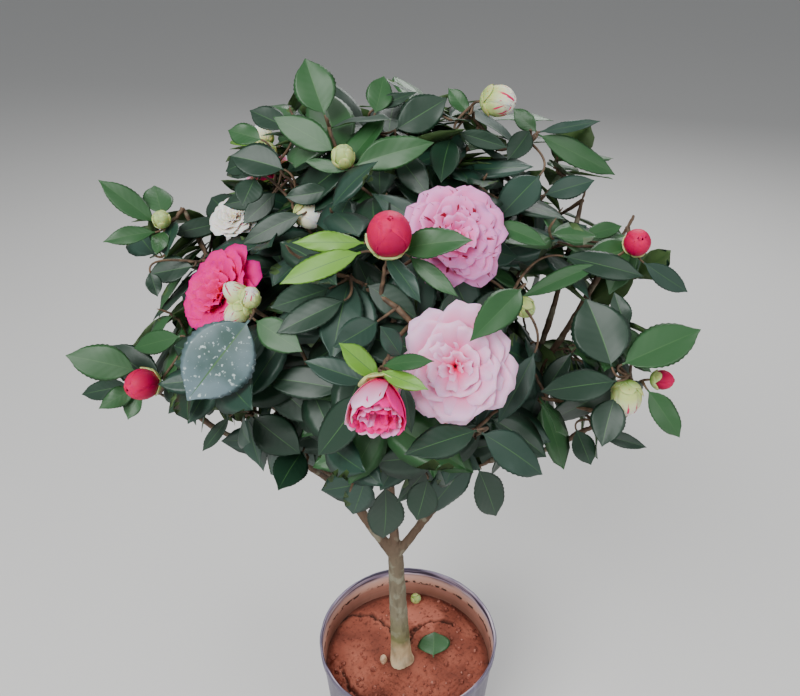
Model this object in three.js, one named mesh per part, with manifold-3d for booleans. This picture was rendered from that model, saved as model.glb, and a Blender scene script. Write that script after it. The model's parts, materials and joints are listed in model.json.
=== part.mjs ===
// A camellia shrub in flower, growing in a plastic nursery pot.
// Millimetres, +Z up. The origin is the centre of the pot's flat underside.
// The side with most flowers faces -Y, so +X is on the right in a view along +Y.

import * as THREE from "three";
import { mergeVertices } from "three/addons/utils/BufferGeometryUtils.js";
import Module from "manifold-3d";

const wasm = await Module();
wasm.setup();

// Driving dimensions of the pot and of the soil in it.
const POT = { rim: 125, foot: 108, height: 220, wall: 2.4, floor: 4, facets: 32 };
const POT_RIM = { band: 13, step: 1.5, bevel: 3 };
const SOIL = { top: 175, pad: 26, padBlend: 12, edgeDrop: 4, rings: [0.9, 0.7, 0.5, 0.3, 0.15] };
const RIPPLE = { height: 2, lengthX: 19, lengthY: 23, shift: 1 };
const MOUND = { at: [-57, -8], height: 7, width: 24 };
const GAP = 0.35; // clearance between two pieces that meet

// The trunk, from its flat foot on the soil to its fork, with the flare of its roots.
const TRUNK = { foot: [-9, -9, 175.3], fork: [-17, -9, 386], footRadius: 15, topRadius: 10.4 };
const TRUNK_RINGS = { sides: 12, topRound: 2, shares: [0, 0.03, 0.08, 0.2, 0.45, 0.75, 0.98, 1] };
const FLARE = { radius: 3.5, height: 12, lobes: 3, lobeShare: 0.09 };

// The crown is an egg that the leaf tips reach. Shoots end at a share of the way to its skin.
const CROWN = { centre: [-25, -5, 770], reach: [300, 275, 224] };
const FILL = { tries: 900, apart: 76, lowest: -0.7 };
const SKINS = { outer: 0.74, outerPlay: 0.08, inner: 0.48, innerEach: 6 };
const FILL_LEAVES = { most: 7, fewest: 4, turn: 137.5 }; // each next leaf is turned by the golden angle
const FILL_BLOOMS = { behind: 30, doubleShare: 0.5, doubleSize: 38, budShare: 0.75, budSize: 9, play: 6 };

// One leaf: its blade curls and sags, and its root is sunk past the middle of its twig.
const LEAF = { length: 88, width: 46, smallest: 0.86, play: 0.26, sunk: 0.3, keel: 1.6, keelAt: 6 };
const LEAF_HANG = { sag: 0.15, curl: 0.12 };
const LEAF_STATIONS = [[0.38, 0.48], [0.72, 0.42]]; // share of the length, and of the width on each side
const LEAF_FACING = { shoot: 0.55, up: 0.65, outward: 0.35 }; // what the upper face of a leaf turns to
const LEAF_SPREAD = { apart: 11, more: 7, most: 82 }; // along the shoot, and degrees more for each leaf
// The first leaf of a shoot: its angle from the shoot, and how far below the tip it stands.
const FIRST_LEAF = { double: [88, 11], opening: [62, 6], cluster: [60, 6], bud: [50, 5], none: [46, 2] };

// Twigs are three-sided and thin from branch to branch. A twig leaves its parent at an angle.
const TWIG = { stem: 3.2, thick: 2.8, tip: 1.8, branch: 0.85, sides: 3, piece: 60, bend: 0.45 };
const TWIG_CHOICE = { nodeEach: 12, pathCost: 0.12, shortest: 12, choices: 14, along: 0.88, testEach: 5 };
const MASS_STEM = 55; // the stem inside a mass, from its bough's tip to the middle of the mass
const SHY = 1.2; // how far a mass keeps from the bounds of its own space

// Each mass of leaves has a middle, and a bough that comes from the trunk's fork or from another bough,
// at a share of the way along it.
const MASSES = {
  left_upper: { centre: [-235, 20, 850], from: "trunk", leave: [-0.5, 0.03, 0.87], radius: 8 },
  top_left: { centre: [-70, -20, 930], from: "trunk", leave: [-0.02, 0, 1], radius: 7 },
  right_side: { centre: [215, -30, 860], from: "trunk", leave: [0.42, -0.12, 0.9], radius: 6.7 },
  front_left: { centre: [-180, -150, 805], from: "left_upper", share: 0.42 },
  left_low: { centre: [-250, -90, 700], from: "left_upper", share: 0.28 },
  low_left: { centre: [-140, -110, 680], from: "left_upper", share: 0.2 },
  back_left: { centre: [-160, 150, 830], from: "left_upper", share: 0.5 },
  front: { centre: [-15, -190, 850], from: "top_left", share: 0.5 },
  front_low: { centre: [5, -170, 678], from: "top_left", share: 0.26 },
  back_low: { centre: [-10, 180, 700], from: "top_left", share: 0.34 },
  top_back: { centre: [0, 120, 930], from: "top_left", share: 0.66 },
  top_right: { centre: [80, 15, 915], from: "top_left", share: 0.58 },
  right_upper: { centre: [190, 65, 855], from: "right_side", share: 0.62 },
  right_low: { centre: [190, -130, 700], from: "right_side", share: 0.34 },
  back_right: { centre: [110, 190, 800], from: "right_side", share: 0.44 },
};
const BOUGH = { sideRadius: 4.8, tipRadius: 3.6, sides: 5, piece: 62, swing: 0.38, lift: 0.3, ballEach: 5 };
const FORK_DEPTH = 6; // the boughs of the fork start this far below its top

// The shoots of the flowering side: what each ends in, the radius of that, where the shoot ends, the way
// it points there, and the clock angle of each leaf round it: 0 up, and 90 to the right along +Y.
const SHOOTS = [
  ["double", 46, [32, -228, 810], [-0.05, -0.85, 0.5], [55, 300, 200]],
  ["double", 44, [32, -141, 880], [0.25, -0.75, 0.6], [330, 60, 120, 200]],
  ["double", 42, [-172, -114, 815], [-0.55, -0.5, 0.65], [300, 200]],
  ["double", 32, [-181, 15, 838], [-0.2, -0.5, 0.8], [330, 60]],
  ["opening", 22, [-25, -262, 820], [-0.1, -0.93, -0.36], [311, 100, 65, 288, 213]],
  ["bud", 17, [-20, -195, 895], [0.05, -0.55, 0.83], [262, 225, 85, 118, 140]],
  ["cluster", 11, [-135, -180, 840], [-0.1, -0.8, 0.55], [215, 140, 60, 330]],
  ["bud", 13, [-105, -60, 875], [0.8, -0.5, -0.1], [255, 300]],
  ["bud", 9, [-60, -80, 925], [0, -0.45, 0.9], [308, 62, 260, 20]],
  ["bud", 8, [-135, -10, 910], [-0.3, -0.4, 0.85], [275, 215, 95, 130]],
  ["bud", 14, [65, -20, 965], [0.8, -0.45, 0.1], [262, 232, 200, 150]],
  ["bud", 12.5, [211, -60, 840], [-0.1, -0.8, 0.6], [278, 120, 60, 310, 200]],
  ["bud", 8, [-250, 0, 840], [-0.2, -0.6, 0.75], [300, 258, 190, 80]],
  ["bud", 15, [-245, -115, 725], [-0.6, -0.75, 0.15], [283, 236, 200, 30, 60]],
  ["bud", 14, [195, -150, 745], [0, -0.45, -0.9], [335, 60, 272, 145, 200]],
  ["bud", 9, [225, -132, 736], [0.95, -0.25, 0.1], []],
  ["bud", 8, [92, -142, 822], [0.6, -0.7, -0.3], [235, 70, 130, 320]],
  ["none", 0, [-76, -40, 955], [0, -0.3, 0.95], [343, 80, 270]],
  ["none", 0, [-35, 0, 950], [0.1, -0.3, 0.95], [25, 68, 290, 180]],
  ["none", 0, [120, 10, 925], [0.3, -0.3, 0.9], [335, 72, 250, 130]],
  ["none", 0, [155, 45, 900], [0.5, -0.4, 0.8], [118, 70]],
  ["none", 0, [130, 10, 870], [0.4, -0.6, 0.7], [80, 200, 300]],
  ["none", 0, [50, -240, 748], [0, -0.8, 0.2], [258, 122, 192, 25]],
  ["none", 0, [-20, -170, 635], [0, -0.8, -0.5], [185, 150, 230]],
  ["none", 0, [70, -140, 635], [0.3, -0.6, -0.6], [165, 200, 120]],
  ["none", 0, [-160, -150, 700], [-0.3, -0.8, -0.2], [130, 200, 250]],
  ["none", 0, [-190, -95, 640], [-0.5, -0.6, -0.4], [195, 240, 150]],
  ["none", 0, [-220, -40, 815], [-0.8, -0.4, 0.3], [255]],
  ["none", 0, [-55, -180, 865], [-0.2, -0.8, 0.4], [240, 200, 160]],
  ["none", 0, [180, -110, 675], [0.4, -0.5, -0.5], [150, 200, 250, 180]],
];

// A full flower's tiers, as shares of its radius outward and upward, and a bunch of three buds.
const ROSETTE = {
  lobes: 7,
  notch: 0.08,
  foot: 8,
  heart: 0.6,
  tiers: [[1, 0.1], [0.68, 0.14], [0.74, 0.32], [0.42, 0.32], [0.46, 0.5], [0.2, 0.46]],
};
const CLUSTER = { spread: 45, clocks: [20, 130, 235] };

// Sky lanes stay free of leaves, and so does the space in front of each flower of this side.
const LANES = [
  { at: [82, -300, 893], toward: [0.187, 0.868, -0.46], radius: 22, length: 700 },
  { at: [73, -300, 752], toward: [0.147, 0.751, -0.644], radius: 14, length: 700 },
];
const OUTLOOK = { toward: [0, -0.86, 0.5], length: 240, share: 0.8 };
const LIMB_SHY = 1; // how far leaves and twigs keep from the boughs

// Colour and roughness of each kind of piece.
const LOOKS = {
  pot: [0x4b464b, 0.45],
  soil: [0x8a6250, 0.95],
  bark: [0x86806c, 0.85],
  foliage: [0x2c5038, 0.4],
};

// Vectors, and a noise from 0 to 1 that repeats for the same number.
const vec = (a) => new THREE.Vector3(...a);
const step = (p, way, s) => p.clone().addScaledVector(way, s);
const unit = (v) => v.clone().normalize();
const square = (v, axis) => unit(step(v, axis, -v.dot(axis)));
const UP = vec([0, 0, 1]);

function noise(k) {
  const v = Math.sin(k * 12.9898) * 43758.5453;
  return v - Math.floor(v);
}

// A closed solid from its points and triangles, turned the right way out.
function solid(points, faces) {
  const vertProperties = new Float32Array(points.flatMap((p) => p.toArray()));
  const make = (list) => {
    const triVerts = new Uint32Array(list.flat());
    return new wasm.Manifold(new wasm.Mesh({ numProp: 3, vertProperties, triVerts }));
  };
  const made = make(faces);
  return made.volume() > 0 ? made : make(faces.map(([a, b, c]) => [a, c, b]));
}

// Rings of equal count joined in a row, with a flat cap on each end.
function loft(rings) {
  const n = rings[0].length;
  const last = (rings.length - 1) * n;
  const faces = [];
  for (let a = 0; a < last; a += n) {
    for (let j = 0; j < n; j++) {
      const k = (j + 1) % n;
      faces.push([a + j, a + k, a + n + k], [a + j, a + n + k, a + n + j]);
    }
  }
  for (let j = 1; j < n - 1; j++) faces.push([0, j + 1, j], [last, last + j, last + j + 1]);
  return solid(rings.flat(), faces);
}

// A limb of changing radius along a row of points.
function limb(points, radii, sides) {
  let side = vec([1, 0.3, 0.2]);
  const rings = points.map((p, i) => {
    const before = points[Math.max(i - 1, 0)];
    const after = points[Math.min(i + 1, points.length - 1)];
    const way = unit(after.clone().sub(before));
    side = square(side, way);
    const other = way.clone().cross(side);
    return Array.from({ length: sides }, (_, j) => {
      const turn = (j / sides) * 2 * Math.PI;
      return step(step(p, side, radii[i] * Math.cos(turn)), other, radii[i] * Math.sin(turn));
    });
  });
  return loft(rings);
}

// A body turned about +Z from a profile that starts and ends on the axis.
// "change" may move its points.
function turned(profile, facets, change = (p) => p) {
  const shape = new THREE.LatheGeometry(profile.map(([r, z]) => new THREE.Vector2(r, z)), facets);
  shape.rotateX(Math.PI / 2);
  shape.deleteAttribute("normal");
  shape.deleteAttribute("uv");
  const merged = mergeVertices(shape, 1e-3);
  const place = merged.attributes.position;
  const pointAt = (_, i) => change(new THREE.Vector3().fromBufferAttribute(place, i));
  const points = Array.from({ length: place.count }, pointAt);
  const index = Array.from(merged.index.array);
  const faces = [];
  for (let i = 0; i < index.length; i += 3) {
    const face = index.slice(i, i + 3);
    if (new Set(face).size === 3) faces.push(face);
  }
  return solid(points, faces);
}

// The largest piece of a body that a cut may have left in several.
function largest(body) {
  return body.decompose().sort((a, b) => b.volume() - a.volume())[0];
}

// The same body with its +Z axis laid along "toward" and its origin at "at".
function placed(body, at, toward) {
  const z = unit(toward);
  const x = square(Math.abs(z.x) < 0.9 ? vec([1, 0, 0]) : vec([0, 1, 0]), z);
  return body.transform(new THREE.Matrix4().makeBasis(x, z.clone().cross(x), z).setPosition(at).elements);
}

// Outer radius of the pot's plain wall at a height.
const potWall = (z) => POT.foot + ((POT.rim - POT_RIM.step - POT.foot) * z) / POT.height;

// Pot: thin moulded wall with a band under its rim.
function potBody() {
  const bandFoot = POT.height - POT_RIM.band;
  return turned(
    [
      [0, 0],
      [POT.foot - POT_RIM.bevel, 0],
      [potWall(POT_RIM.bevel), POT_RIM.bevel],
      [potWall(bandFoot), bandFoot],
      [POT.rim - POT_RIM.step / 3, bandFoot + POT_RIM.step],
      [POT.rim, POT.height],
      [POT.rim - POT_RIM.step - POT.wall, POT.height],
      [potWall(POT.floor) - POT.wall, POT.floor],
      [0, POT.floor],
    ],
    POT.facets,
  );
}

// Height of the soil: flat under the trunk, with a mound and some hollows round it.
function soilHeight(x, y) {
  const away = Math.hypot(x - TRUNK.foot[0], y - TRUNK.foot[1]);
  const open = THREE.MathUtils.smoothstep(away, SOIL.pad, SOIL.pad + SOIL.padBlend);
  const [mx, my] = MOUND.at;
  const mound = MOUND.height * Math.exp(-((x - mx) ** 2 + (y - my) ** 2) / MOUND.width ** 2);
  const ripple = Math.sin(x / RIPPLE.lengthX + RIPPLE.shift) * Math.cos(y / RIPPLE.lengthY);
  return SOIL.top + open * (mound + RIPPLE.height * ripple);
}

function soilBody() {
  const foot = POT.floor + GAP;
  const edgeTop = SOIL.top - SOIL.edgeDrop;
  const edge = potWall(edgeTop) - POT.wall - GAP;
  const profile = [[0, foot], [potWall(foot) - POT.wall - GAP, foot], [edge, edgeTop]];
  for (const share of SOIL.rings) profile.push([edge * share, SOIL.top]);
  profile.push([0, SOIL.top]);
  const lift = (p) => (p.z < SOIL.top ? p : vec([p.x, p.y, soilHeight(p.x, p.y)]));
  return turned(profile, POT.facets, lift);
}

// Trunk: leaning, tapered, with lobes at its foot where the roots begin.
// "extra" makes it that much wider and taller.
function trunkBody(extra = 0) {
  const foot = vec(TRUNK.foot);
  const fork = step(vec(TRUNK.fork), UP, extra);
  const rings = TRUNK_RINGS.shares.map((share) => {
    const flare = Math.exp((-share * (fork.z - foot.z)) / FLARE.height);
    const rounded = share === 1 ? TRUNK_RINGS.topRound : 0;
    const round = THREE.MathUtils.lerp(TRUNK.footRadius, TRUNK.topRadius, share) - rounded + extra;
    const middle = foot.clone().lerp(fork, share);
    return Array.from({ length: TRUNK_RINGS.sides }, (_, j) => {
      const turn = (j / TRUNK_RINGS.sides) * 2 * Math.PI;
      const lobe = 1 + FLARE.lobeShare * Math.cos(FLARE.lobes * turn) * flare;
      const r = (round + FLARE.radius * flare) * lobe;
      return middle.clone().add(vec([r * Math.cos(turn), r * Math.sin(turn), 0]));
    });
  });
  return loft(rings);
}

// Boughs: each is a curve that leaves its parent and rises into the middle of its mass.
function boughCurve(name, curves) {
  const { centre, from, share, leave } = MASSES[name];
  const root = from === "trunk" ? step(vec(TRUNK.fork), UP, -FORK_DEPTH) : curves[from].getPoint(share);
  const approach = unit(vec(centre).sub(root));
  const arrive = unit(step(approach, UP, BOUGH.lift));
  const tip = step(vec(centre), arrive, -MASS_STEM);
  const swing = BOUGH.swing * root.distanceTo(tip);
  const away = leave ? unit(vec(leave)) : unit(curves[from].getTangent(share).add(approach));
  return new THREE.CubicBezierCurve3(root, step(root, away, swing), step(tip, arrive, -swing), tip);
}

function boughRadii(name, count) {
  const start = MASSES[name].radius ?? BOUGH.sideRadius;
  const share = (i) => (i / (count - 1)) ** 0.8;
  return Array.from({ length: count }, (_, i) => THREE.MathUtils.lerp(start, BOUGH.tipRadius, share(i)));
}

function boughPoints(curve) {
  return curve.getPoints(Math.ceil(curve.getLength() / BOUGH.piece));
}

function growBoughs() {
  const curves = {};
  const bodies = {};
  const wide = [trunkBody(GAP)];
  for (const name of Object.keys(MASSES)) {
    curves[name] = boughCurve(name, curves);
    const points = boughPoints(curves[name]);
    const radii = boughRadii(name, points.length);
    let body = limb(points, radii, BOUGH.sides);
    for (const other of wide) body = body.subtract(other);
    bodies[name] = largest(body);
    wide.push(limb(points, radii.map((r) => r + GAP / Math.cos(Math.PI / BOUGH.sides)), BOUGH.sides));
  }
  return { curves, bodies };
}

// Small balls along a stretch. A leaf or twig that reaches into one is left out.
function ballsAlong(points, radii) {
  return points.map((at, i) => ({ at, r: radii[i] }));
}

function boughBalls(name, curve) {
  const count = Math.ceil(curve.getLength() / BOUGH.ballEach) + 1;
  return ballsAlong(curve.getPoints(count - 1), boughRadii(name, count).map((r) => r + LIMB_SHY));
}

function laneBalls({ at, toward, radius, length }) {
  const count = Math.ceil(length / (radius * 0.6));
  const way = unit(vec(toward));
  const points = Array.from({ length: count + 1 }, (_, i) => step(vec(at), way, (i / count) * length));
  return ballsAlong(points, points.map(() => radius));
}

// A mass's own space is what lies nearer to its middle than to any other mass's.
function inSpace(name, p, margin) {
  const own = vec(MASSES[name].centre);
  return Object.keys(MASSES).every((other) => {
    if (other === name) return true;
    const way = vec(MASSES[other].centre).sub(own);
    return p.clone().sub(own).dot(unit(way)) < way.length() / 2 - margin;
  });
}

function massOf(p) {
  const near = (name) => vec(MASSES[name].centre).distanceTo(p);
  return Object.keys(MASSES).sort((a, b) => near(a) - near(b))[0];
}

// Leaf: a blade that curls down towards its tip, with a keel under its root.
function leafPoints(leaf) {
  const at = (x, s, z) => step(step(step(leaf.root, leaf.side, x), leaf.way, s), leaf.normal, z);
  const curl = (share) => -LEAF_HANG.curl * leaf.length * share ** 2;
  const edge = (side, [share, half]) => at(side * half * leaf.width, share * leaf.length, curl(share));
  const [low, high] = LEAF_STATIONS;
  return [
    at(0, -LEAF.sunk, 0),
    edge(1, low),
    edge(1, high),
    at(0, leaf.length, curl(1)),
    edge(-1, high),
    edge(-1, low),
    at(0, LEAF.keelAt, -LEAF.keel),
  ];
}

const LEAF_TOP = [[0, 1, 5], [5, 1, 2], [5, 2, 4], [4, 2, 3]];
const LEAF_EDGE = [0, 1, 2, 3, 4, 5];
const LEAF_FACES = [...LEAF_TOP, ...LEAF_EDGE.map((a) => [6, (a + 1) % LEAF_EDGE.length, a])];

// Two leaves cross where an edge of one passes through the blade of the other.
const ray = new THREE.Ray();
function edgeCuts(from, to, [a, b, c]) {
  const way = to.clone().sub(from);
  ray.set(from, unit(way));
  const hit = ray.intersectTriangle(a, b, c, false, new THREE.Vector3());
  return hit !== null && hit.distanceTo(from) < way.length();
}

function leavesCross(one, two) {
  if (one[6].distanceTo(two[6]) > 2.3 * LEAF.length) return false;
  const cuts = (p, q) =>
    LEAF_EDGE.some((a) =>
      LEAF_TOP.some((face) => edgeCuts(p[a], p[(a + 1) % LEAF_EDGE.length], face.map((k) => q[k]))),
    );
  return cuts(one, two) || cuts(two, one);
}

function leafMeets(leaf, ball) {
  const d = ball.at.clone().sub(leaf.root);
  const s = d.dot(leaf.way);
  if (s < -ball.r || s > leaf.length + ball.r) return false;
  if (Math.abs(d.dot(leaf.side)) > leaf.width / 2 + ball.r) return false;
  const share = THREE.MathUtils.clamp(s / leaf.length, 0, 1);
  return Math.abs(d.dot(leaf.normal) + LEAF_HANG.curl * leaf.length * share ** 2) < ball.r + LEAF.keel;
}

// Directions across a shoot: u is up, and w is to the right in a view along +Y.
function across(toward) {
  const u = square(vec([0, 1, 0.35]), toward);
  return { u, w: u.clone().cross(toward) };
}

// A direction round a shoot, at an angle from it and a clock angle.
function aroundShoot(toward, spread, clock) {
  const { u, w } = across(toward);
  const [angle, turn] = [THREE.MathUtils.degToRad(spread), THREE.MathUtils.degToRad(clock)];
  const out = u.clone().multiplyScalar(Math.cos(turn)).addScaledVector(w, Math.sin(turn));
  return toward.clone().multiplyScalar(Math.cos(angle)).addScaledVector(out, Math.sin(angle));
}

// One leaf of a shoot. Lower leaves stand out more, and every leaf turns its face up and outward.
function leafAt(shoot, place, clock, share) {
  const [firstSpread, firstBack] = FIRST_LEAF[shoot.bloom];
  const spread = Math.min(firstSpread + LEAF_SPREAD.more * place, Math.max(firstSpread, LEAF_SPREAD.most));
  const way = unit(step(aroundShoot(shoot.toward, spread, clock), UP, -LEAF_HANG.sag));
  const outward = unit(shoot.at.clone().sub(vec(CROWN.centre)));
  const face = shoot.toward.clone().multiplyScalar(LEAF_FACING.shoot);
  face.addScaledVector(UP, LEAF_FACING.up).addScaledVector(outward, LEAF_FACING.outward);
  const normal = square(face, way);
  const size = share * (LEAF.smallest + LEAF.play * noise(shoot.seed * 7.1 + place * 3.3));
  const back = (firstBack + LEAF_SPREAD.apart * place) / shoot.length;
  const root = pointAlong(shoot.points, 1 - Math.min(back, 0.8));
  const side = way.clone().cross(normal);
  return { root, way, normal, side, length: LEAF.length * size, width: LEAF.width * size };
}

// Small turns and sizes that are tried until a leaf fits.
const TRIES = [
  [0, 1], [14, 0.95], [-14, 0.95], [30, 0.9], [-30, 0.9],
  [0, 0.78], [48, 0.82], [-48, 0.82], [20, 0.68], [-20, 0.68],
];

function leafThatFits(shoot, place, clock, balls, others) {
  for (const [turn, share] of TRIES) {
    const leaf = leafAt(shoot, place, clock + turn, share);
    const points = leafPoints(leaf);
    if (!points.every((p) => inSpace(shoot.mass, p, SHY))) continue;
    if (balls.some((ball) => ball.shoot !== shoot.seed && leafMeets(leaf, ball))) continue;
    if (others.some((other) => leavesCross(points, other))) continue;
    return points;
  }
  return null;
}

// Flowers and buds stand on +Z, from just below the end of their shoot.
function egg(radius, length, facets) {
  const ring = (share) => [radius * Math.sin(Math.PI * share ** 0.8), share * length];
  return turned([[0, -2], ...[0.2, 0.52, 0.84].map(ring), [0, length]], facets);
}

// A full flower: three tiers of petals and a heart, the lobes of a tier between those of the next.
function rosette(radius) {
  const { lobes, tiers, foot, heart, notch } = ROSETTE;
  const profile = [[0, -foot], ...tiers.map(([r, z]) => [r * radius, z * radius]), [0, heart * radius]];
  return turned(profile, lobes * 2, (p) => {
    const upper = p.z > tiers[1][1] * radius + 0.1;
    const turn = Math.atan2(p.x, -p.y) + (upper ? Math.PI / lobes : 0);
    const share = 1 - notch * (1 - Math.cos(lobes * turn));
    return vec([p.x * share, p.y * share, p.z]);
  });
}

const BLOOMS = {
  double: (r) => rosette(r),
  opening: (r) => egg(r, 1.75 * r, 8),
  bud: (r) => egg(r, 2.2 * r, 6),
};

function bloomBody({ bloom, size, at, toward }) {
  if (bloom !== "cluster") return [placed(BLOOMS[bloom](size), at, toward)];
  const ways = CLUSTER.clocks.map((clock) => aroundShoot(toward, CLUSTER.spread, clock));
  return ways.map((way) => placed(BLOOMS.bud(size), at, way));
}

// A bloom's own ball, and the clear outlook of one on the flowering side.
function bloomBalls(shoot) {
  const middle = step(shoot.at, shoot.toward, shoot.bloom === "double" ? shoot.size / 4 : shoot.size);
  const radius = shoot.size * OUTLOOK.share;
  const own = { at: middle, r: radius, shoot: shoot.seed };
  if (!shoot.front) return [own];
  const start = step(middle, unit(vec(OUTLOOK.toward)), shoot.size);
  return [own, ...laneBalls({ at: start, toward: OUTLOOK.toward, radius, length: OUTLOOK.length })];
}

// A point of a row of points, at a share of the way along it.
function pointAlong(points, share) {
  const place = share * (points.length - 1);
  const before = Math.min(Math.floor(place), points.length - 2);
  return points[before].clone().lerp(points[before + 1], place - before);
}

// A shoot grows from the point of its mass's twigs that gives it the shortest way from the bough.
function twigFor(shoot, mass, balls) {
  const far = (node) => node.at.distanceTo(shoot.at);
  const cost = (node) => far(node) + TWIG_CHOICE.pathCost * node.path;
  const clear = (p) =>
    inSpace(shoot.mass, p, TWIG.thick + SHY) &&
    balls.every((ball) => ball.at.distanceTo(p) > ball.r + TWIG.thick + LIMB_SHY);
  const nearest = [...mass.nodes].sort((a, b) => cost(a) - cost(b)).slice(0, TWIG_CHOICE.choices);
  for (const node of nearest.filter((one) => far(one) > TWIG_CHOICE.shortest)) {
    const bend = step(shoot.at, shoot.toward, -TWIG.bend * far(node));
    const curve = new THREE.QuadraticBezierCurve3(node.at, bend, shoot.at);
    if (curve.getTangent(0).dot(node.way) > TWIG_CHOICE.along) continue;
    if (!curve.getPoints(Math.ceil(far(node) / TWIG_CHOICE.testEach)).every(clear)) continue;
    const length = curve.getLength();
    return { node, length, points: curve.getPoints(Math.max(2, Math.ceil(length / TWIG.piece))) };
  }
  return null;
}

function addTwig({ node, points, length }, mass) {
  const start = Math.max(TWIG.branch * node.r, TWIG.tip);
  const radius = (share) => THREE.MathUtils.lerp(start, TWIG.tip, share);
  const radii = points.map((_, i) => radius(i / (points.length - 1)));
  mass.parts.push(limb(points, radii, TWIG.sides));
  const joints = Math.ceil(length / TWIG_CHOICE.nodeEach);
  for (let i = 1; i < joints; i++) {
    const share = i / joints;
    const at = pointAlong(points, share);
    const way = unit(at.clone().sub(pointAlong(points, share - 1 / joints)));
    mass.nodes.push({ at, way, r: radius(share), path: node.path + length * share });
  }
}

function leavesFor(shoot, mass, balls) {
  const found = [];
  shoot.leaves.forEach((clock, place) => {
    const points = leafThatFits(shoot, place, clock, balls, [...mass.leaves, ...found]);
    if (points) found.push(points);
  });
  return found;
}

function addLeaves(leaves, mass) {
  mass.leaves.push(...leaves);
  mass.parts.push(...leaves.map((points) => solid(points, LEAF_FACES)));
}

// The stem of a mass starts clear of its bough's tip, in line with the bough's last stretch.
function startMass(curve) {
  const [before, tip] = boughPoints(curve).slice(-2);
  const way = unit(tip.clone().sub(before));
  const reach = (share) => step(tip, way, GAP + share * MASS_STEM);
  return {
    parts: [limb([reach(0), reach(1)], [TWIG.stem, TWIG.thick], BOUGH.sides)],
    nodes: [0.25, 0.5, 0.75, 0.97].map((share) => ({ at: reach(share), way, r: TWIG.stem, path: 0 })),
    leaves: [],
  };
}

// The listed shoots: first all their twigs, those nearest to a stem first, then the flowers, then leaves.
function growListed(masses, limbs, balls) {
  const rows = SHOOTS.map(([bloom, size, place, way, leaves], seed) => {
    const at = vec(place);
    return { bloom, size, at, toward: unit(vec(way)), leaves, seed, front: true, mass: massOf(at) };
  });
  const fromStem = (shoot) => masses[shoot.mass].nodes[0].at.distanceTo(shoot.at);
  const grown = [];
  for (const shoot of rows.sort((a, b) => fromStem(a) - fromStem(b))) {
    const found = twigFor(shoot, masses[shoot.mass], limbs);
    if (found) {
      addTwig(found, masses[shoot.mass]);
      grown.push(Object.assign(shoot, found));
    }
  }
  const blooming = grown.filter((shoot) => shoot.bloom !== "none");
  for (const shoot of blooming) addBloom(shoot, masses[shoot.mass], balls);
  for (const shoot of grown) addLeaves(leavesFor(shoot, masses[shoot.mass], balls), masses[shoot.mass]);
  return grown;
}

function addBloom(shoot, mass, balls) {
  mass.parts.push(...bloomBody(shoot));
  balls.push(...bloomBalls(shoot));
}

// One place of the golden spiral that winds round two skins inside the crown, from its top down.
function fillShoot(i) {
  const height = 1 - (2 * (i + 0.5)) / FILL.tries;
  const turn = i * Math.PI * (3 - Math.sqrt(5));
  const level = Math.sqrt(1 - height * height);
  const way = vec([level * Math.cos(turn), level * Math.sin(turn), height]);
  const reach = vec(CROWN.reach);
  const deep = i % SKINS.innerEach === 0;
  const share = deep ? SKINS.inner : SKINS.outer + SKINS.outerPlay * noise(i);
  const at = vec(CROWN.centre).add(way.clone().multiply(reach).multiplyScalar(share));
  const toward = unit(step(unit(way.clone().divide(reach)), UP, 0.3));
  const first = 360 * noise(i * 1.7);
  const leaves = Array.from({ length: FILL_LEAVES.most }, (_, k) => first + k * FILL_LEAVES.turn);
  return { at, toward, leaves, height, deep, seed: SHOOTS.length + i, mass: massOf(at) };
}

// Behind the listed shoots, some of the others end in a flower or a bud, where the space has room for it.
function fillBloom(shoot, rank) {
  const none = { bloom: "none" };
  if (shoot.deep || shoot.at.y < FILL_BLOOMS.behind) return none;
  const more = FILL_BLOOMS.play * noise(rank * 2.3);
  const doubleSize = FILL_BLOOMS.doubleSize + more;
  const budSize = FILL_BLOOMS.budSize + more;
  const hasRoom = (reach) => inSpace(shoot.mass, shoot.at, reach + SHY);
  const draw = noise(rank * 2.9);
  if (draw < FILL_BLOOMS.doubleShare && hasRoom(doubleSize)) return { bloom: "double", size: doubleSize };
  if (draw < FILL_BLOOMS.budShare && hasRoom(2 * budSize)) return { bloom: "bud", size: budSize };
  return none;
}

// A further shoot is kept where there is room for it and for enough of its leaves.
function growFill(i, shoots, masses, balls) {
  const shoot = fillShoot(i);
  if (shoot.height < FILL.lowest) return;
  if (shoots.some((other) => other.at.distanceTo(shoot.at) < FILL.apart)) return;
  const mass = masses[shoot.mass];
  const found = twigFor(shoot, mass, balls);
  if (!found) return;
  Object.assign(shoot, found, fillBloom(shoot, shoots.length));
  const leaves = leavesFor(shoot, mass, balls);
  if (leaves.length < FILL_LEAVES.fewest) return;
  addTwig(found, mass);
  addLeaves(leaves, mass);
  shoots.push(shoot);
  if (shoot.bloom !== "none") addBloom(shoot, mass, balls);
}

function growMasses(curves) {
  const names = Object.keys(MASSES);
  const masses = Object.fromEntries(names.map((name) => [name, startMass(curves[name])]));
  const limbs = names.flatMap((name) => boughBalls(name, curves[name]));
  const balls = [...limbs, ...LANES.flatMap(laneBalls)];
  const shoots = growListed(masses, limbs, balls);
  for (let i = 0; i < FILL.tries; i++) growFill(i, shoots, masses, balls);
  return masses;
}

// The scene: one named mesh for each piece.
const shrub = new THREE.Group();

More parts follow.
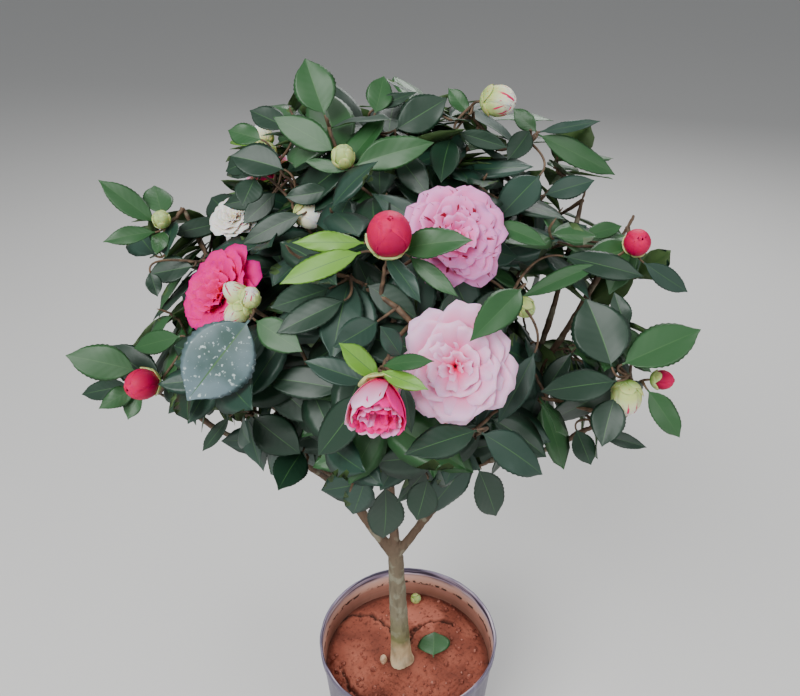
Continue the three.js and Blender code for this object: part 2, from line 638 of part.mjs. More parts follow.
function addPiece(name, body, look) {
  const { numProp, vertProperties, triVerts } = body.getMesh();
  const place = new Float32Array((vertProperties.length / numProp) * 3);
  for (let i = 0; i < place.length / 3; i++) {
    place.set(vertProperties.subarray(i * numProp, i * numProp + 3), i * 3);
  }
  const shape = new THREE.BufferGeometry();
  shape.setAttribute("position", new THREE.BufferAttribute(place, 3));
  shape.setIndex(new THREE.BufferAttribute(new Uint32Array(triVerts), 1));
  shape.computeVertexNormals();
  const [color, roughness] = look;
  const mesh = new THREE.Mesh(shape, new THREE.MeshStandardMaterial({ color, roughness, metalness: 0 }));
  mesh.name = name;
  shrub.add(mesh);
}

const { curves, bodies } = growBoughs();
addPiece("pot", potBody(), LOOKS.pot);
addPiece("soil", soilBody(), LOOKS.soil);
addPiece("trunk", trunkBody(), LOOKS.bark);
for (const [name, body] of Object.entries(bodies)) addPiece(`bough_${name}`, body, LOOKS.bark);
for (const [name, mass] of Object.entries(growMasses(curves))) {
  addPiece(`leaves_${name}`, largest(wasm.Manifold.union(mass.parts)), LOOKS.foliage);
}

export default shrub;
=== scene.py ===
# %% [markdown]
# A camellia shrub in flower stands in a thin nursery pot. A CAD model of it comes in as a fixed frame, and
# this script dresses that frame: bark, twigs, leaves, petals, soil and plastic. Every piece could be
# sculpted by hand, but a plant has thousands of alike parts, so each is a surface worked out with numpy in
# millimetres, in the frame of the CAD model, and turned to metres at the end.

# %% Load the frame
import json
import math
from functools import partial

import bpy
import numpy as np
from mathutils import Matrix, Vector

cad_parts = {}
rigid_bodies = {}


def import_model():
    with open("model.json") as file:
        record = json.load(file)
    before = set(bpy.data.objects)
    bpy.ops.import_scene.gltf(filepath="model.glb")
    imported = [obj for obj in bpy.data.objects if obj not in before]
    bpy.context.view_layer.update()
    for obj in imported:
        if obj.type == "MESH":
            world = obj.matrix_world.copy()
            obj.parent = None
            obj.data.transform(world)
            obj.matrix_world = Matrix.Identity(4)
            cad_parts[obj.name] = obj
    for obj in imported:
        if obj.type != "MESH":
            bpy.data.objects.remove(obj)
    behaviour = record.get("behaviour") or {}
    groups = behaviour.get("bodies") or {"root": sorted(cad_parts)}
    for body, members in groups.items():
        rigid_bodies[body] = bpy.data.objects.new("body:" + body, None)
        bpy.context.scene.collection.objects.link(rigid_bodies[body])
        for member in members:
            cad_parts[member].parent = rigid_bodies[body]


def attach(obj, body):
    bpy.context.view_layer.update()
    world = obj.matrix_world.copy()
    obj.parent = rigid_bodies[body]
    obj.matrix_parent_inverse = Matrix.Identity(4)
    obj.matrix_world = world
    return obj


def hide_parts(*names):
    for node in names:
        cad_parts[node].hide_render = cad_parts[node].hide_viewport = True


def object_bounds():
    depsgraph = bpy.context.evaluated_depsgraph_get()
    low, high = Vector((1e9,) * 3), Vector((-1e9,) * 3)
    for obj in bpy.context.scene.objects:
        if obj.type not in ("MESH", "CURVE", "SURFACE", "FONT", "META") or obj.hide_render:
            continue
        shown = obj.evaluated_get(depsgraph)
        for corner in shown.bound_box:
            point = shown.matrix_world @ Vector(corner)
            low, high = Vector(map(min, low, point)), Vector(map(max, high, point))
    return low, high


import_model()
CAD_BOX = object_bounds()
print("CAD box, metres:", [list(corner) for corner in CAD_BOX])

# %% [markdown]
# The camera comes first. It stands where the photographer's eye was: 0.73 m in front of the pot's axis,
# 1.12 m above the ground, looking down by 30.4 degrees. The focal length follows from the picture's width
# in pixels, so the shrub falls on the same pixels as in the photograph.

# %% Camera
MM = 0.001
PICTURE_WIDTH_PX = 800
PICTURE_HEIGHT_PX = 696
FOCAL_PX = 760
SENSOR_MM = 36
CAMERA_AT = (-0.011, -0.730, 1.121)
CAMERA_DOWN_DEG = 30.4

camera_data = bpy.data.cameras.new("camera")
camera_data.sensor_width = SENSOR_MM
camera_data.lens = FOCAL_PX / PICTURE_WIDTH_PX * SENSOR_MM
camera = bpy.data.objects.new("camera", camera_data)
camera.location = CAMERA_AT
camera.rotation_euler = (math.radians(90 - CAMERA_DOWN_DEG), 0, 0)
bpy.context.scene.collection.objects.link(camera)
bpy.context.scene.camera = camera
print("lens, mm:", round(camera_data.lens, 1))

# %% [markdown]
# Materials are built from nodes, so that a pattern is worked out from places on the piece and needs no
# picture. One helper adds any node: it sets the node's own settings, fills a colour ramp if stops are given,
# links or sets each input, and gives back the node's output, which the next node can take as its input.
# Colours are written as sRGB hex values, as a picture shows them, and turned to linear ones for the shader.

# %% Helpers for materials
def linear(hex_colour):
    """sRGB hex to linear RGBA: a channel is ((c + 0.055) / 1.055) to the power 2.4, or c / 12.92 if dark."""
    channels = [int(hex_colour[i : i + 2], 16) / 255 for i in (1, 3, 5)]
    return (*[c / 12.92 if c < 0.04045 else ((c + 0.055) / 1.055) ** 2.4 for c in channels], 1)


def in_use(sockets, name=None):
    """The first socket that is in use, or the one of this name."""
    return next((socket for socket in sockets if socket.enabled and name in (None, socket.name)), None)


def set_inputs(made, inputs):
    """Links each input, named or numbered, if its value is a socket, and else sets it. Colours are hex."""
    for key, value in inputs.items():
        socket = made.inputs[key] if isinstance(key, int) else in_use(made.inputs, key)
        if isinstance(value, bpy.types.NodeSocket):
            made.id_data.links.new(value, socket)
        else:
            socket.default_value = linear(value) if isinstance(value, str) else value


def node(tree, kind, inputs=None, stops=(), out=None, **settings):
    """Adds a node with its settings, the stops of its ramp and its inputs, and gives back an output."""
    made = tree.nodes.new("ShaderNode" + kind)
    for key, value in settings.items():
        setattr(made, key, value)
    for i, (place, colour) in enumerate(stops):
        elements = made.color_ramp.elements
        element = elements[i] if i < 2 else elements.new(place)
        element.position, element.color = place, linear(colour)
    set_inputs(made, inputs or {})
    return in_use(made.outputs, out)


def new_material(name, base, **inputs):
    """A material with one principled shader, what adds a node to it, and the shader for later inputs."""
    material = bpy.data.materials.new(name)
    material.use_nodes = True
    material.diffuse_color = linear(base)
    material.node_tree.nodes.clear()
    add = partial(node, material.node_tree)
    plain = {key.replace("_", " ").title(): value for key, value in inputs.items()}
    surface = add("BsdfPrincipled", {"Base Color": base, **plain})
    add("OutputMaterial", {"Surface": surface})
    return material, add, surface.node


print("linear value of mid grey:", round(linear("#808080")[0], 3))

# %% [markdown]
# Most finishes here are blobs, streaks or grains of a known size. Object coordinates are metres, because
# every object stands at the origin unscaled, so a noise of scale 500 / w has blobs about w millimetres wide.
# Streaks are the same noise, stretched by a Mapping node. Several small finishes need nothing but this one
# noise, which picks a colour between a few and lifts the surface a little where it is high.

# %% A grained finish
HALF_METRE_MM = 500


def blobs(at, width_mm, detail=3):
    """Inputs of a noise with blobs of this width: its scale is half the number of widths in a metre."""
    return {"Vector": at, "Scale": HALF_METRE_MM / width_mm, "Detail": detail}


def grained(name, base, roughness, width_mm, detail, stops, depth_mm):
    """A material whose one noise gives both the colour, by its stops, and a bump of this depth."""
    material, add, shader = new_material(name, base, roughness=roughness)
    grains = add("TexNoise", blobs(add("TexCoord", out="Object"), width_mm, detail))
    normal = add("Bump", {"Height": grains, "Distance": depth_mm * MM})
    set_inputs(shader, {"Base Color": add("ValToRGB", {"Fac": grains}, stops), "Normal": normal})
    return material


print("scale for blobs of 10 mm:", blobs(None, 10)["Scale"])

# %% [markdown]
# A mesh is made from whole arrays: points, and faces of four corners, where a fourth corner of -1 marks a
# triangle. Its object stays at the origin, because its place is in its points. Each piece then rides on the
# shrub's one body and hides the CAD nodes that it stands for.

# %% Helpers for meshes
def join(parts):
    """One set of points, faces, UVs and face slots from several, with the faces' numbers moved on."""
    starts = np.cumsum([0] + [len(part["points"]) for part in parts[:-1]])
    faces = [np.where(p["faces"] < 0, -1, p["faces"] + start) for p, start in zip(parts, starts)]
    joined = {"points": np.concatenate([part["points"] for part in parts]), "faces": np.concatenate(faces)}
    joined["slots"] = np.concatenate([part["slots"] for part in parts])
    if "uv" in parts[0]:
        joined["uv"] = np.concatenate([part["uv"] for part in parts])
    return joined


def make_object(name, part, materials):
    """A smooth mesh object from arrays in millimetres, with its UV map if the part has one."""
    mesh = bpy.data.meshes.new(name)
    faces = part["faces"]
    corners = faces[faces >= 0]
    sizes = (faces >= 0).sum(1)
    mesh.vertices.add(len(part["points"]))
    mesh.vertices.foreach_set("co", (part["points"] * MM).astype(np.float32).ravel())
    mesh.loops.add(len(corners))
    mesh.loops.foreach_set("vertex_index", corners.astype(np.int32))
    mesh.polygons.add(len(faces))
    mesh.polygons.foreach_set("loop_start", (np.cumsum(sizes) - sizes).astype(np.int32))
    mesh.polygons.foreach_set("material_index", part.get("slots", np.zeros(len(faces))).astype(np.int32))
    mesh.update(calc_edges=True)
    mesh.shade_smooth()
    if "uv" in part:
        layer = mesh.uv_layers.new(name="OFBake")
        layer.data.foreach_set("uv", part["uv"][corners].astype(np.float32).ravel())
    for material in materials:
        mesh.materials.append(material)
    made = bpy.data.objects.new(name, mesh)
    bpy.context.scene.collection.objects.link(made)
    return made


def add_piece(made, slot, *nodes):
    """Puts a finished object on the shrub's body and hides the CAD nodes it replaces. The slot is not used.
    """
    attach(made, "root")
    if nodes:
        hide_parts(*nodes)
    triangles = sum(len(p.vertices) - 2 for p in made.data.polygons)
    print(f"{made.name}: {triangles} triangles")


print("one unit of a mesh is", round(1 / MM), "mm")

# %% [markdown]
# Nothing that grows is quite regular. Soft noise, worked out here for whole arrays of points, shifts and
# dents surfaces. Blender's own noise textures could do it, but they would be called point by point. The pot,
# the soil, the trunk and the crumbs are round, so they begin as profiles that are turned round an axis.

# %% Helpers for shapes
def unit(v):
    """Each vector divided by its own length."""
    return v / np.linalg.norm(v, axis=-1, keepdims=True)


def bell(x):
    """1 at 0 and falling to both sides: e to the power of -x^2."""
    return np.exp(-(x**2))


def turned(r, z, n):
    """A profile turned round the z axis in n steps: places (r cos, r sin, z)."""
    turn = np.arange(n) / n * 2 * np.pi
    return np.stack(np.broadcast_arrays(r * np.cos(turn), r * np.sin(turn), z), -1)


def smooth(low, high, x):
    """0 below low and 1 above high, and 3t^2 - 2t^3 between them."""
    t = np.clip((x - low) / (high - low), 0, 1)
    return t * t * (3 - 2 * t)


def grain(points, seed=0):
    """Soft noise from -1 to 1: a random value on each corner of a unit lattice, blended between corners."""
    cell = np.floor(points).astype(np.int64)
    part = smooth(0, 1, points - cell)
    total = np.zeros(len(points))
    for corner in np.ndindex(2, 2, 2):
        key = (cell + corner + seed) @ np.array([73856093, 19349663, 83492791])
        value = ((key * 2654435761) & 0xFFFFFFFF) / 0x7FFFFFFF - 1
        total += value * np.prod(np.where(corner, part, 1 - part), axis=1)
    return total


def grid_faces(rows, columns, closed):
    """Faces between neighbouring rows and columns of a grid, round to the first column if it is closed."""
    start = np.arange(rows - 1)[:, None] * columns
    here = np.arange(columns if closed else columns - 1)[None, :]
    after = (here + 1) % columns
    corners = [start + here, start + after, start + columns + after, start + columns + here]
    return np.stack(corners, -1).reshape(-1, 4)


print("noise at three points:", grain(np.array([[0.2, 0.5, 0.1], [3.3, 1.2, 8.8], [5.5, 5.5, 5.5]])).round(2))

# %% [markdown]
# A stage for the picture: a plain pale floor and soft light. Three large lamps stand for a studio's soft
# boxes, one high on the left, one lower on the right and one behind, and a pale world fills the shadows.
# The floor is not part of the shrub.

# %% Floor and light
FLOOR_HALF_M = 30
WORLD_COLOUR = "#E9ECEF"
WORLD_STRENGTH = 0.34
LAMPS = {
    "key": {"at": (-1.3, -1.9, 2.7), "size": 1.8, "watts": 112},
    "fill": {"at": (1.9, -1.5, 1.7), "size": 1.8, "watts": 27},
    "back": {"at": (0.6, 2.1, 2.5), "size": 1.6, "watts": 58},
}
LIT_POINT = (0, 0, 0.7)

floor_part = {
    "points": np.array([[-1, -1, 0], [1, -1, 0], [1, 1, 0], [-1, 1, 0]]) * FLOOR_HALF_M / MM,
    "faces": np.array([[0, 1, 2, 3]]),
}
floor = make_object("floor", floor_part, [new_material("matt studio floor", "#D9D8D6", roughness=0.8)[0]])
world = bpy.data.worlds.new("studio")
world.use_nodes = True
set_inputs(world.node_tree.nodes["Background"], {"Color": WORLD_COLOUR, "Strength": WORLD_STRENGTH})
bpy.context.scene.world = world
for lamp_name, row in LAMPS.items():
    lamp = bpy.data.lights.new(lamp_name, "AREA")
    lamp.size = row["size"]
    lamp.energy = row["watts"]
    made = bpy.data.objects.new(lamp_name, lamp)
    made.location = row["at"]
    aim = Vector(LIT_POINT) - made.location
    made.rotation_euler = aim.to_track_quat("-Z", "Y").to_euler()
    bpy.context.scene.collection.objects.link(made)
print("lamps:", ", ".join(LAMPS))

# %% [markdown]
# The shrub grows by the rule that the CAD model was grown by, written again here in whole arrays. A plant
# could be modelled leaf by leaf, but a rule keeps thousands of leaves off each other and on their twigs.
# First the numbers of that rule: the pot, the soil, the trunk, the crown, and the boughs with their masses
# of leaves. They are millimetres, from the middle of the pot's underside.

# %% Numbers of the shrub
UP = np.array([0.0, 0.0, 1.0])
POT = {"rim": 125, "foot": 108, "height": 220, "wall": 2.4, "floor": 4, "band": 13, "step": 1.5, "bevel": 3}
SOIL = {"top": 175, "pad": 26, "blend": 12, "edge_drop": 4, "gap": 0.35}
RIPPLE = {"height": 2, "length_x": 19, "length_y": 23, "shift": 1}
MOUND = {"at": (-57, -8), "height": 7, "width": 24}
TRUNK_FOOT = np.array([-9, -9, 175.3])
TRUNK_FORK = np.array([-17.0, -9, 386])
TRUNK_RADII = (15, 10.4)
FLARE = {"radius": 3.5, "height": 12, "lobes": 3, "lobe_share": 0.09}
CROWN_CENTRE = np.array([-25, -5, 770])
CROWN_REACH = np.array([300, 275, 224])
LEAF_LENGTH = 88
LEAF_WIDTH = 46
LEAF_CURL = 0.12
FIRST_LEAF = {"double": (88, 11), "opening": (62, 6), "cluster": (60, 6), "bud": (50, 5), "none": (46, 2)}
MASS_STEM = 55
BOUGH_RADII = (4.8, 3.6)
MASSES = {
    "left_upper": {"centre": (-235, 20, 850), "leave": (-0.5, 0.03, 0.87), "radius": 8},
    "top_left": {"centre": (-70, -20, 930), "leave": (-0.02, 0, 1), "radius": 7},
    "right_side": {"centre": (215, -30, 860), "leave": (0.42, -0.12, 0.9), "radius": 6.7},
    "front_left": {"centre": (-180, -150, 805), "parent": "left_upper", "share": 0.42},
    "left_low": {"centre": (-250, -90, 700), "parent": "left_upper", "share": 0.28},
    "low_left": {"centre": (-140, -110, 680), "parent": "left_upper", "share": 0.2},
    "back_left": {"centre": (-160, 150, 830), "parent": "left_upper", "share": 0.5},
    "front": {"centre": (-15, -190, 850), "parent": "top_left", "share": 0.5},
    "front_low": {"centre": (5, -170, 678), "parent": "top_left", "share": 0.26},
    "back_low": {"centre": (-10, 180, 700), "parent": "top_left", "share": 0.34},
    "top_back": {"centre": (0, 120, 930), "parent": "top_left", "share": 0.66},
    "top_right": {"centre": (80, 15, 915), "parent": "top_left", "share": 0.58},
    "right_upper": {"centre": (190, 65, 855), "parent": "right_side", "share": 0.62},
    "right_low": {"centre": (190, -130, 700), "parent": "right_side", "share": 0.34},
    "back_right": {"centre": (110, 190, 800), "parent": "right_side", "share": 0.44},
}
LEAF_NODES = [f"leaves_{name}" for name in MASSES]
WOOD_NODES = ["trunk", *[f"bough_{name}" for name in MASSES]]
print(len(MASSES), "masses of leaves")

# %% [markdown]
# The photograph shows one side of the shrub: four open flowers, one that is opening, buds in pink, white and
# green, and the tips of many leafy shoots. These shoots are listed one by one, because they are what the
# shrub is known by. Each row says what the shoot ends in, the radius of that, its place, its way, the clock
# angles of its leaves, and the look of its bloom. Two straight lanes through the crown stay open.

# %% Shoots of the flowering side
SHOOTS = [
    ("double", 49, (32, -228, 810), (-0.05, -0.85, 0.5), (55, 300, 200), "blush"),
    ("double", 48, (32, -141, 880), (0.25, -0.75, 0.6), (330, 60, 120, 200), "streaked"),
    ("double", 46, (-168, -114, 814), (-0.55, -0.5, 0.65), (300, 200), "rose"),
    ("double", 28, (-181, 15, 838), (-0.2, -0.5, 0.8), (330, 60), "white"),
    ("opening", 22, (-25, -262, 820), (-0.1, -0.93, -0.36), (311, 100, 65, 288, 213), "streaked"),
    ("bud", 17, (-20, -195, 895), (0.05, -0.55, 0.83), (262, 225, 85, 118, 140), "crimson"),
    ("cluster", 11, (-135, -180, 840), (-0.1, -0.8, 0.55), (215, 140, 60, 330), "white"),
    ("bud", 13, (-105, -60, 875), (0.8, -0.5, -0.1), (255, 300), "white"),
    ("bud", 9, (-60, -80, 925), (0, -0.45, 0.9), (308, 62, 260, 20), "green"),
    ("bud", 8, (-135, -10, 910), (-0.3, -0.4, 0.85), (275, 215, 95, 130), "green"),
    ("bud", 14, (65, -20, 965), (0.8, -0.45, 0.1), (285, 330, 45, 100), "cream"),
    ("bud", 12.5, (211, -60, 840), (-0.1, -0.8, 0.6), (278, 120, 60, 310, 200), "crimson"),
    ("bud", 8, (-250, 0, 840), (-0.2, -0.6, 0.75), (258, 190), "green"),
    ("bud", 15, (-245, -115, 725), (-0.6, -0.75, 0.15), (283, 236, 200, 30, 60), "crimson"),
    ("bud", 14, (195, -150, 745), (0, -0.45, -0.9), (335, 60, 272, 145, 200), "cream"),
    ("bud", 9, (225, -132, 736), (0.95, -0.25, 0.1), (), "crimson"),
    ("bud", 8, (92, -142, 822), (0.6, -0.7, -0.3), (235, 70, 130, 320), "green"),
    ("none", 0, (-76, -40, 955), (0, -0.3, 0.95), (343, 80, 270), ""),
    ("none", 0, (-35, 0, 950), (0.1, -0.3, 0.95), (25, 68, 290, 180), ""),
    ("none", 0, (120, 10, 925), (0.3, -0.3, 0.9), (335, 72, 250, 130), ""),
    ("none", 0, (155, 45, 900), (0.5, -0.4, 0.8), (118, 70), ""),
    ("none", 0, (130, 10, 870), (0.4, -0.6, 0.7), (80, 200, 300), ""),
    ("none", 0, (50, -240, 748), (0, -0.8, 0.2), (258, 122, 192, 25), ""),
    ("none", 0, (-20, -170, 635), (0, -0.8, -0.5), (185, 150, 230), ""),
    ("none", 0, (70, -140, 635), (0.3, -0.6, -0.6), (165, 200, 120), ""),
    ("none", 0, (-160, -150, 700), (-0.3, -0.8, -0.2), (130, 200, 250), ""),
    ("none", 0, (-190, -95, 640), (-0.5, -0.6, -0.4), (195, 240, 150), ""),
    ("none", 0, (-220, -40, 815), (-0.8, -0.4, 0.3), (255,), ""),
    ("none", 0, (-55, -180, 865), (-0.2, -0.8, 0.4), (240, 200, 160), ""),
    ("none", 0, (180, -110, 675), (0.4, -0.5, -0.5), (150, 200, 250, 180), ""),
]
# Of each lane: a place in it, its way, and its radius.
LANES = [((82, -300, 893), (0.187, 0.868, -0.46), 22), ((73, -300, 752), (0.147, 0.751, -0.644), 14)]
LANE_LENGTH = 700
print(len(SHOOTS), "listed shoots")

# %% [markdown]
# The crown's outline, and the places where the sky shows through it, are read off the picture in pixels, as
# someone would pencil them on a print. The camera stands where the photographer's eye was, so a leaf can be
# tested against them by where the camera sees it. Of the outline the lists hold u and v of its corners from
# left to right, and of each open place u and v of its middle and its two half sizes.

# %% Outline and open sky, in pixels
CROWN_TOP = [(62, 349), (96, 345), (98, 180), (162, 182), (180, 208), (216, 188), (224, 132), (250, 104)]
CROWN_TOP += [(283, 105), (288, 70), (318, 56), (334, 92), (352, 104), (385, 72), (415, 86), (450, 95)]
CROWN_TOP += [(478, 84), (508, 90), (545, 112), (604, 128), (622, 170), (626, 222), (668, 234), (704, 326)]
CROWN_FOOT = [(62, 352), (78, 396), (126, 419), (150, 402), (200, 452), (226, 446), (278, 486), (302, 478)]
CROWN_FOOT += [(326, 500), (388, 548), (412, 518), (438, 528), (476, 498), (504, 520), (554, 474)]
CROWN_FOOT += [(590, 468), (652, 444), (684, 441), (692, 380), (704, 332)]
OPEN_SKY = [(116, 299, 42, 42), (198, 154, 18, 34), (614, 203, 60, 20), (660, 302, 42, 20)]
OPEN_SKY += [(528, 161, 16, 11), (560, 312, 12, 26)]
print(len(OPEN_SKY), "open places")

# %% [markdown]
# A leaf that faces the viewer can be read off the picture too. Of each of these large leaves the list holds
# the pixel where its root shows and the y on which that lies, the same for its tip, its width in mm, and the
# number of its tint, which follows how light or dark the leaf looks, so it partly holds painted light and
# shade. One picture gives no depth, so the y is a guess that keeps the leaves off each other.

# %% Large leaves of the flowering side, in pixels
FRONT_LEAVES = [
    (156, 223, 0, 98, 179, 0, 26, 2), (162, 216, 0, 154, 180, 40, 31, 2),
    (156, 232, -5, 102, 236, -25, 20, 2), (164, 231, -10, 156, 250, -45, 18, 2),
    (170, 234, 0, 230, 222, 20, 21, 0), (194, 266, -40, 146, 274, -40, 30, 0),
    (250, 319, -200, 185, 402, -235, 60, 4), (255, 320, -195, 298, 349, -225, 27, 2),
    (137, 371, -115, 66, 351, -120, 36, 2), (130, 385, -100, 78, 394, -90, 22, 0),
    (137, 387, -110, 98, 407, -135, 21, 2), (140, 389, -110, 126, 419, -130, 19, 2),
    (181, 336, -100, 127, 349, -85, 24, 2), (268, 378, -170, 316, 421, -200, 33, 0),
    (252, 416, -150, 298, 455, -175, 39, 0), (303, 451, -140, 277, 482, -195, 34, 0),
    (230, 416, -120, 201, 453, -130, 14, 0), (330, 288, -180, 273, 309, -205, 27, 0),
    (398, 250, -190, 468, 232, -215, 25, 2), (385, 254, -195, 423, 298, -225, 17, 1),
    (409, 256, -185, 455, 296, -215, 15, 2), (365, 243, -190, 292, 240, -195, 17, 3),
    (362, 252, -195, 278, 278, -215, 21, 3), (378, 321, -205, 337, 348, -235, 25, 1),
    (366, 284, -180, 418, 318, -200, 26, 0), (493, 224, -130, 549, 240, -140, 18, 2),
    (522, 288, -185, 480, 332, -252, 27, 2), (600, 264, -90, 522, 291, -130, 18, 2),
    (370, 383, -250, 303, 361, -240, 23, 1), (380, 378, -262, 340, 345, -262, 20, 3),
    (383, 366, -262, 431, 356, -285, 13, 2), (381, 371, -265, 423, 389, -290, 14, 3),
    (401, 356, -240, 382, 327, -245, 18, 1), (365, 392, -240, 318, 462, -245, 33, 0),
    (403, 382, -255, 413, 434, -270, 12, 0), (478, 430, -265, 405, 452, -288, 27, 0),
    (480, 432, -255, 552, 473, -245, 32, 1), (535, 352, -190, 500, 424, -225, 23, 1),
    (385, 485, -150, 390, 547, -150, 39, 0), (428, 478, -170, 418, 524, -175, 33, 0),
    (478, 468, -130, 500, 519, -130, 37, 0), (540, 175, -40, 500, 214, -80, 35, 1),
    (544, 195, -20, 597, 179, -10, 23, 1), (583, 236, -60, 627, 224, -40, 17, 2),
    (562, 256, -90, 647, 274, -95, 27, 0), (643, 262, -70, 691, 296, -60, 21, 1),
    (612, 368, -160, 592, 296, -120, 53, 0), (621, 365, -155, 703, 328, -140, 41, 2),
    (618, 381, -165, 543, 389, -185, 31, 0), (615, 397, -160, 599, 445, -190, 32, 0),
    (647, 389, -145, 684, 440, -160, 26, 2), (599, 435, -120, 650, 445, -115, 16, 0),
    (576, 429, -150, 592, 467, -160, 23, 0), (572, 352, -100, 538, 400, -120, 23, 0),
    (627, 330, -110, 613, 293, -95, 20, 0), (325, 116, -40, 303, 57, -20, 39, 2),
    (335, 152, -75, 274, 110, -60, 28, 2), (353, 166, -85, 431, 137, -90, 29, 2),
    (375, 114, -20, 385, 74, 0, 26, 2), (373, 110, -15, 416, 88, -5, 13, 0),
    (395, 130, -40, 448, 98, -30, 34, 0), (469, 114, -15, 447, 88, 0, 17, 2),
    (458, 132, -30, 508, 148, -35, 17, 0), (530, 130, 10, 510, 161, -20, 23, 0),
    (537, 132, 15, 512, 109, 30, 18, 2), (539, 132, 15, 602, 121, 20, 12, 1),
    (537, 134, 15, 622, 175, 20, 28, 2), (285, 170, -60, 230, 150, -50, 34, 0),
    (350, 170, -85, 303, 163, -80, 12, 2), (451, 138, -20, 436, 176, -85, 29, 0),
    (395, 152, -60, 430, 194, -85, 27, 0), (303, 214, -80, 238, 238, -90, 23, 0),
    (255, 178, -50, 243, 203, -75, 27, 0), (330, 190, -75, 285, 200, -80, 21, 0),
    (345, 300, -195, 275, 330, -215, 27, 0), (345, 390, -205, 262, 372, -190, 30, 0),
    (276, 192, -20, 244, 224, -40, 24, 0), (268, 196, -15, 221, 205, -10, 20, 0),
    (288, 128, -15, 248, 108, 0, 26, 0), (262, 140, -20, 226, 128, -5, 24, 2),
    (256, 160, -20, 222, 168, -10, 22, 0), (150, 272, -60, 158, 296, -75, 16, 0),
]
print(len(FRONT_LEAVES), "leaves read off the picture")

# %% [markdown]
# Boughs and twigs are Bezier curves, worked out here rather than taken from curve objects, because the rule
# has to measure them. A bough leaves the fork or another bough and rises into the middle of its own mass of
# leaves, and the mass's stem goes on from its tip. Twigs branch from the stem and from one another, so
# everything is carried by wood that can be followed back to the trunk.

# %% Curves of the boughs
FORK_DEPTH = 6
BOUGH_RISE = 0.3
BOUGH_SWING = 0.38


def noise(k):
    """A value from 0 to 1 that is the same for the same number: the fraction of a large sine."""
    v = np.sin(np.asarray(k, float) * 12.9898) * 43758.5453
    return v - np.floor(v)


def bezier(controls, shares):
    """Points of a Bezier curve: neighbouring control points are blended by the share until one is left."""
    points = np.asarray(controls, float)[:, None, :]
    shares = np.atleast_1d(shares)[:, None]
    while len(points) > 1:
        points = points[:-1] * (1 - shares) + points[1:] * shares
    return points[0]


def curve_length(controls):
    """Sum of the distances between 201 points of the curve."""
    return np.linalg.norm(np.diff(bezier(controls, np.linspace(0, 1, 201)), axis=0), axis=1).sum()


def tangent(controls, share):
    """The curve's direction: from a point just before the share to one just after it."""
    before, after = bezier(controls, [max(share - 1e-4, 0), min(share + 1e-4, 1)])
    return unit(after - before)


def bough_controls(row, boughs):
    """Four control points: the root, two that carry its first and last direction, and the tip."""
    centre = np.array(row["centre"], float)
    parent = boughs.get(row.get("parent"))
    root = TRUNK_FORK - FORK_DEPTH * UP if parent is None else bezier(parent, row["share"])[0]
    approach = unit(centre - root)
    arrive = unit(approach + BOUGH_RISE * UP)
    tip = centre - arrive * MASS_STEM
    swing = BOUGH_SWING * np.linalg.norm(tip - root)
    away = unit(np.array(row["leave"]) if parent is None else tangent(parent, row["share"]) + approach)
    return np.array([root, root + away * swing, tip - arrive * swing, tip])


def bough_radii(row, count):
    """From the bough's own radius to that of a tip, faster at first: by the share to the power 0.8."""
    first = row.get("radius", BOUGH_RADII[0])
    return first + (BOUGH_RADII[1] - first) * (np.linspace(0, 1, count) ** 0.8)


boughs = {}
for name, row in MASSES.items():
    boughs[name] = bough_controls(row, boughs)
print("wood in the boughs, mm:", round(sum(curve_length(c) for c in boughs.values())))

# %% [markdown]
# Each mass keeps to its own space, which is what lies nearer to its middle than to any other's. The outline
# in pixels bounds them all: a point is inside if the camera sees it under the top line, over the foot line
# and in no open place. The same sums the other way round turn a pixel and a depth into a place.

# %% Spaces and the camera's view
CENTRES = np.array([row["centre"] for row in MASSES.values()], float)
NAMES = list(MASSES)


def in_space(mass, points, margin):
    """True if every point is nearer to this middle than to any other by twice the margin."""
    ways = np.delete(CENTRES, mass, axis=0) - CENTRES[mass]
    far = np.linalg.norm(ways, axis=1)
    reach = (np.atleast_2d(points) - CENTRES[mass]) @ (ways / far[:, None]).T
    return bool((reach < far / 2 - margin).all())


def mass_of(point):
    """The number of the mass whose middle is nearest."""
    return int(np.argmin(np.linalg.norm(CENTRES - point, axis=1)))


EYE = np.array(CAMERA_AT) / MM
DOWN = math.radians(CAMERA_DOWN_DEG)
AHEAD = np.array([0, math.cos(DOWN), -math.sin(DOWN)])
UPWARD = np.array([0, math.sin(DOWN), math.cos(DOWN)])
MIDDLE_PX = np.array([PICTURE_WIDTH_PX / 2, PICTURE_HEIGHT_PX / 2])


def pixels_of(points):
    """Where the camera sees points: how far right and up of its line, over how far ahead, in pixels."""
    away = points - EYE
    near = FOCAL_PX / (away @ AHEAD)
    return MIDDLE_PX + np.stack([away[:, 0] * near, -(away @ UPWARD * near)], -1)


def seen_at(u, v, y):
    """The place where the line of sight through a pixel meets the upright plane at y."""
    way = FOCAL_PX * AHEAD + (MIDDLE_PX[1] - v) * UPWARD
    way[0] = u - MIDDLE_PX[0]
    return EYE + way * (y - EYE[1]) / way[1]


def inside_edge(points):
    """True if all points are inside the CAD box, and the camera sees them inside the crown's outline."""
    seen = pixels_of(points)
    top, foot = (np.interp(seen[:, 0], *np.transpose(line)) for line in (CROWN_TOP, CROWN_FOOT))
    sky = np.array(OPEN_SKY)
    in_sky = (((seen[:, None] - sky[:, :2]) / sky[:, 2:]) ** 2).sum(-1) < 1
    low, high = np.array(CAD_BOX) / MM
    in_view = (seen[:, 1] > top) & (seen[:, 1] < foot)
    in_box = (points > low).all(1) & (points < high).all(1)
    return bool((in_view & in_box).all() and not in_sky.any())


print("the camera sees the fork at", pixels_of(TRUNK_FORK[None])[0].round())

# %% [markdown]
# Balls stand for what leaves must keep clear of: the boughs, the flowers, the view of each flower, and the
# open lanes. A row of balls is a rough tube, but the distance to a ball is one subtraction, and a leaf is
# tested against thousands of them.

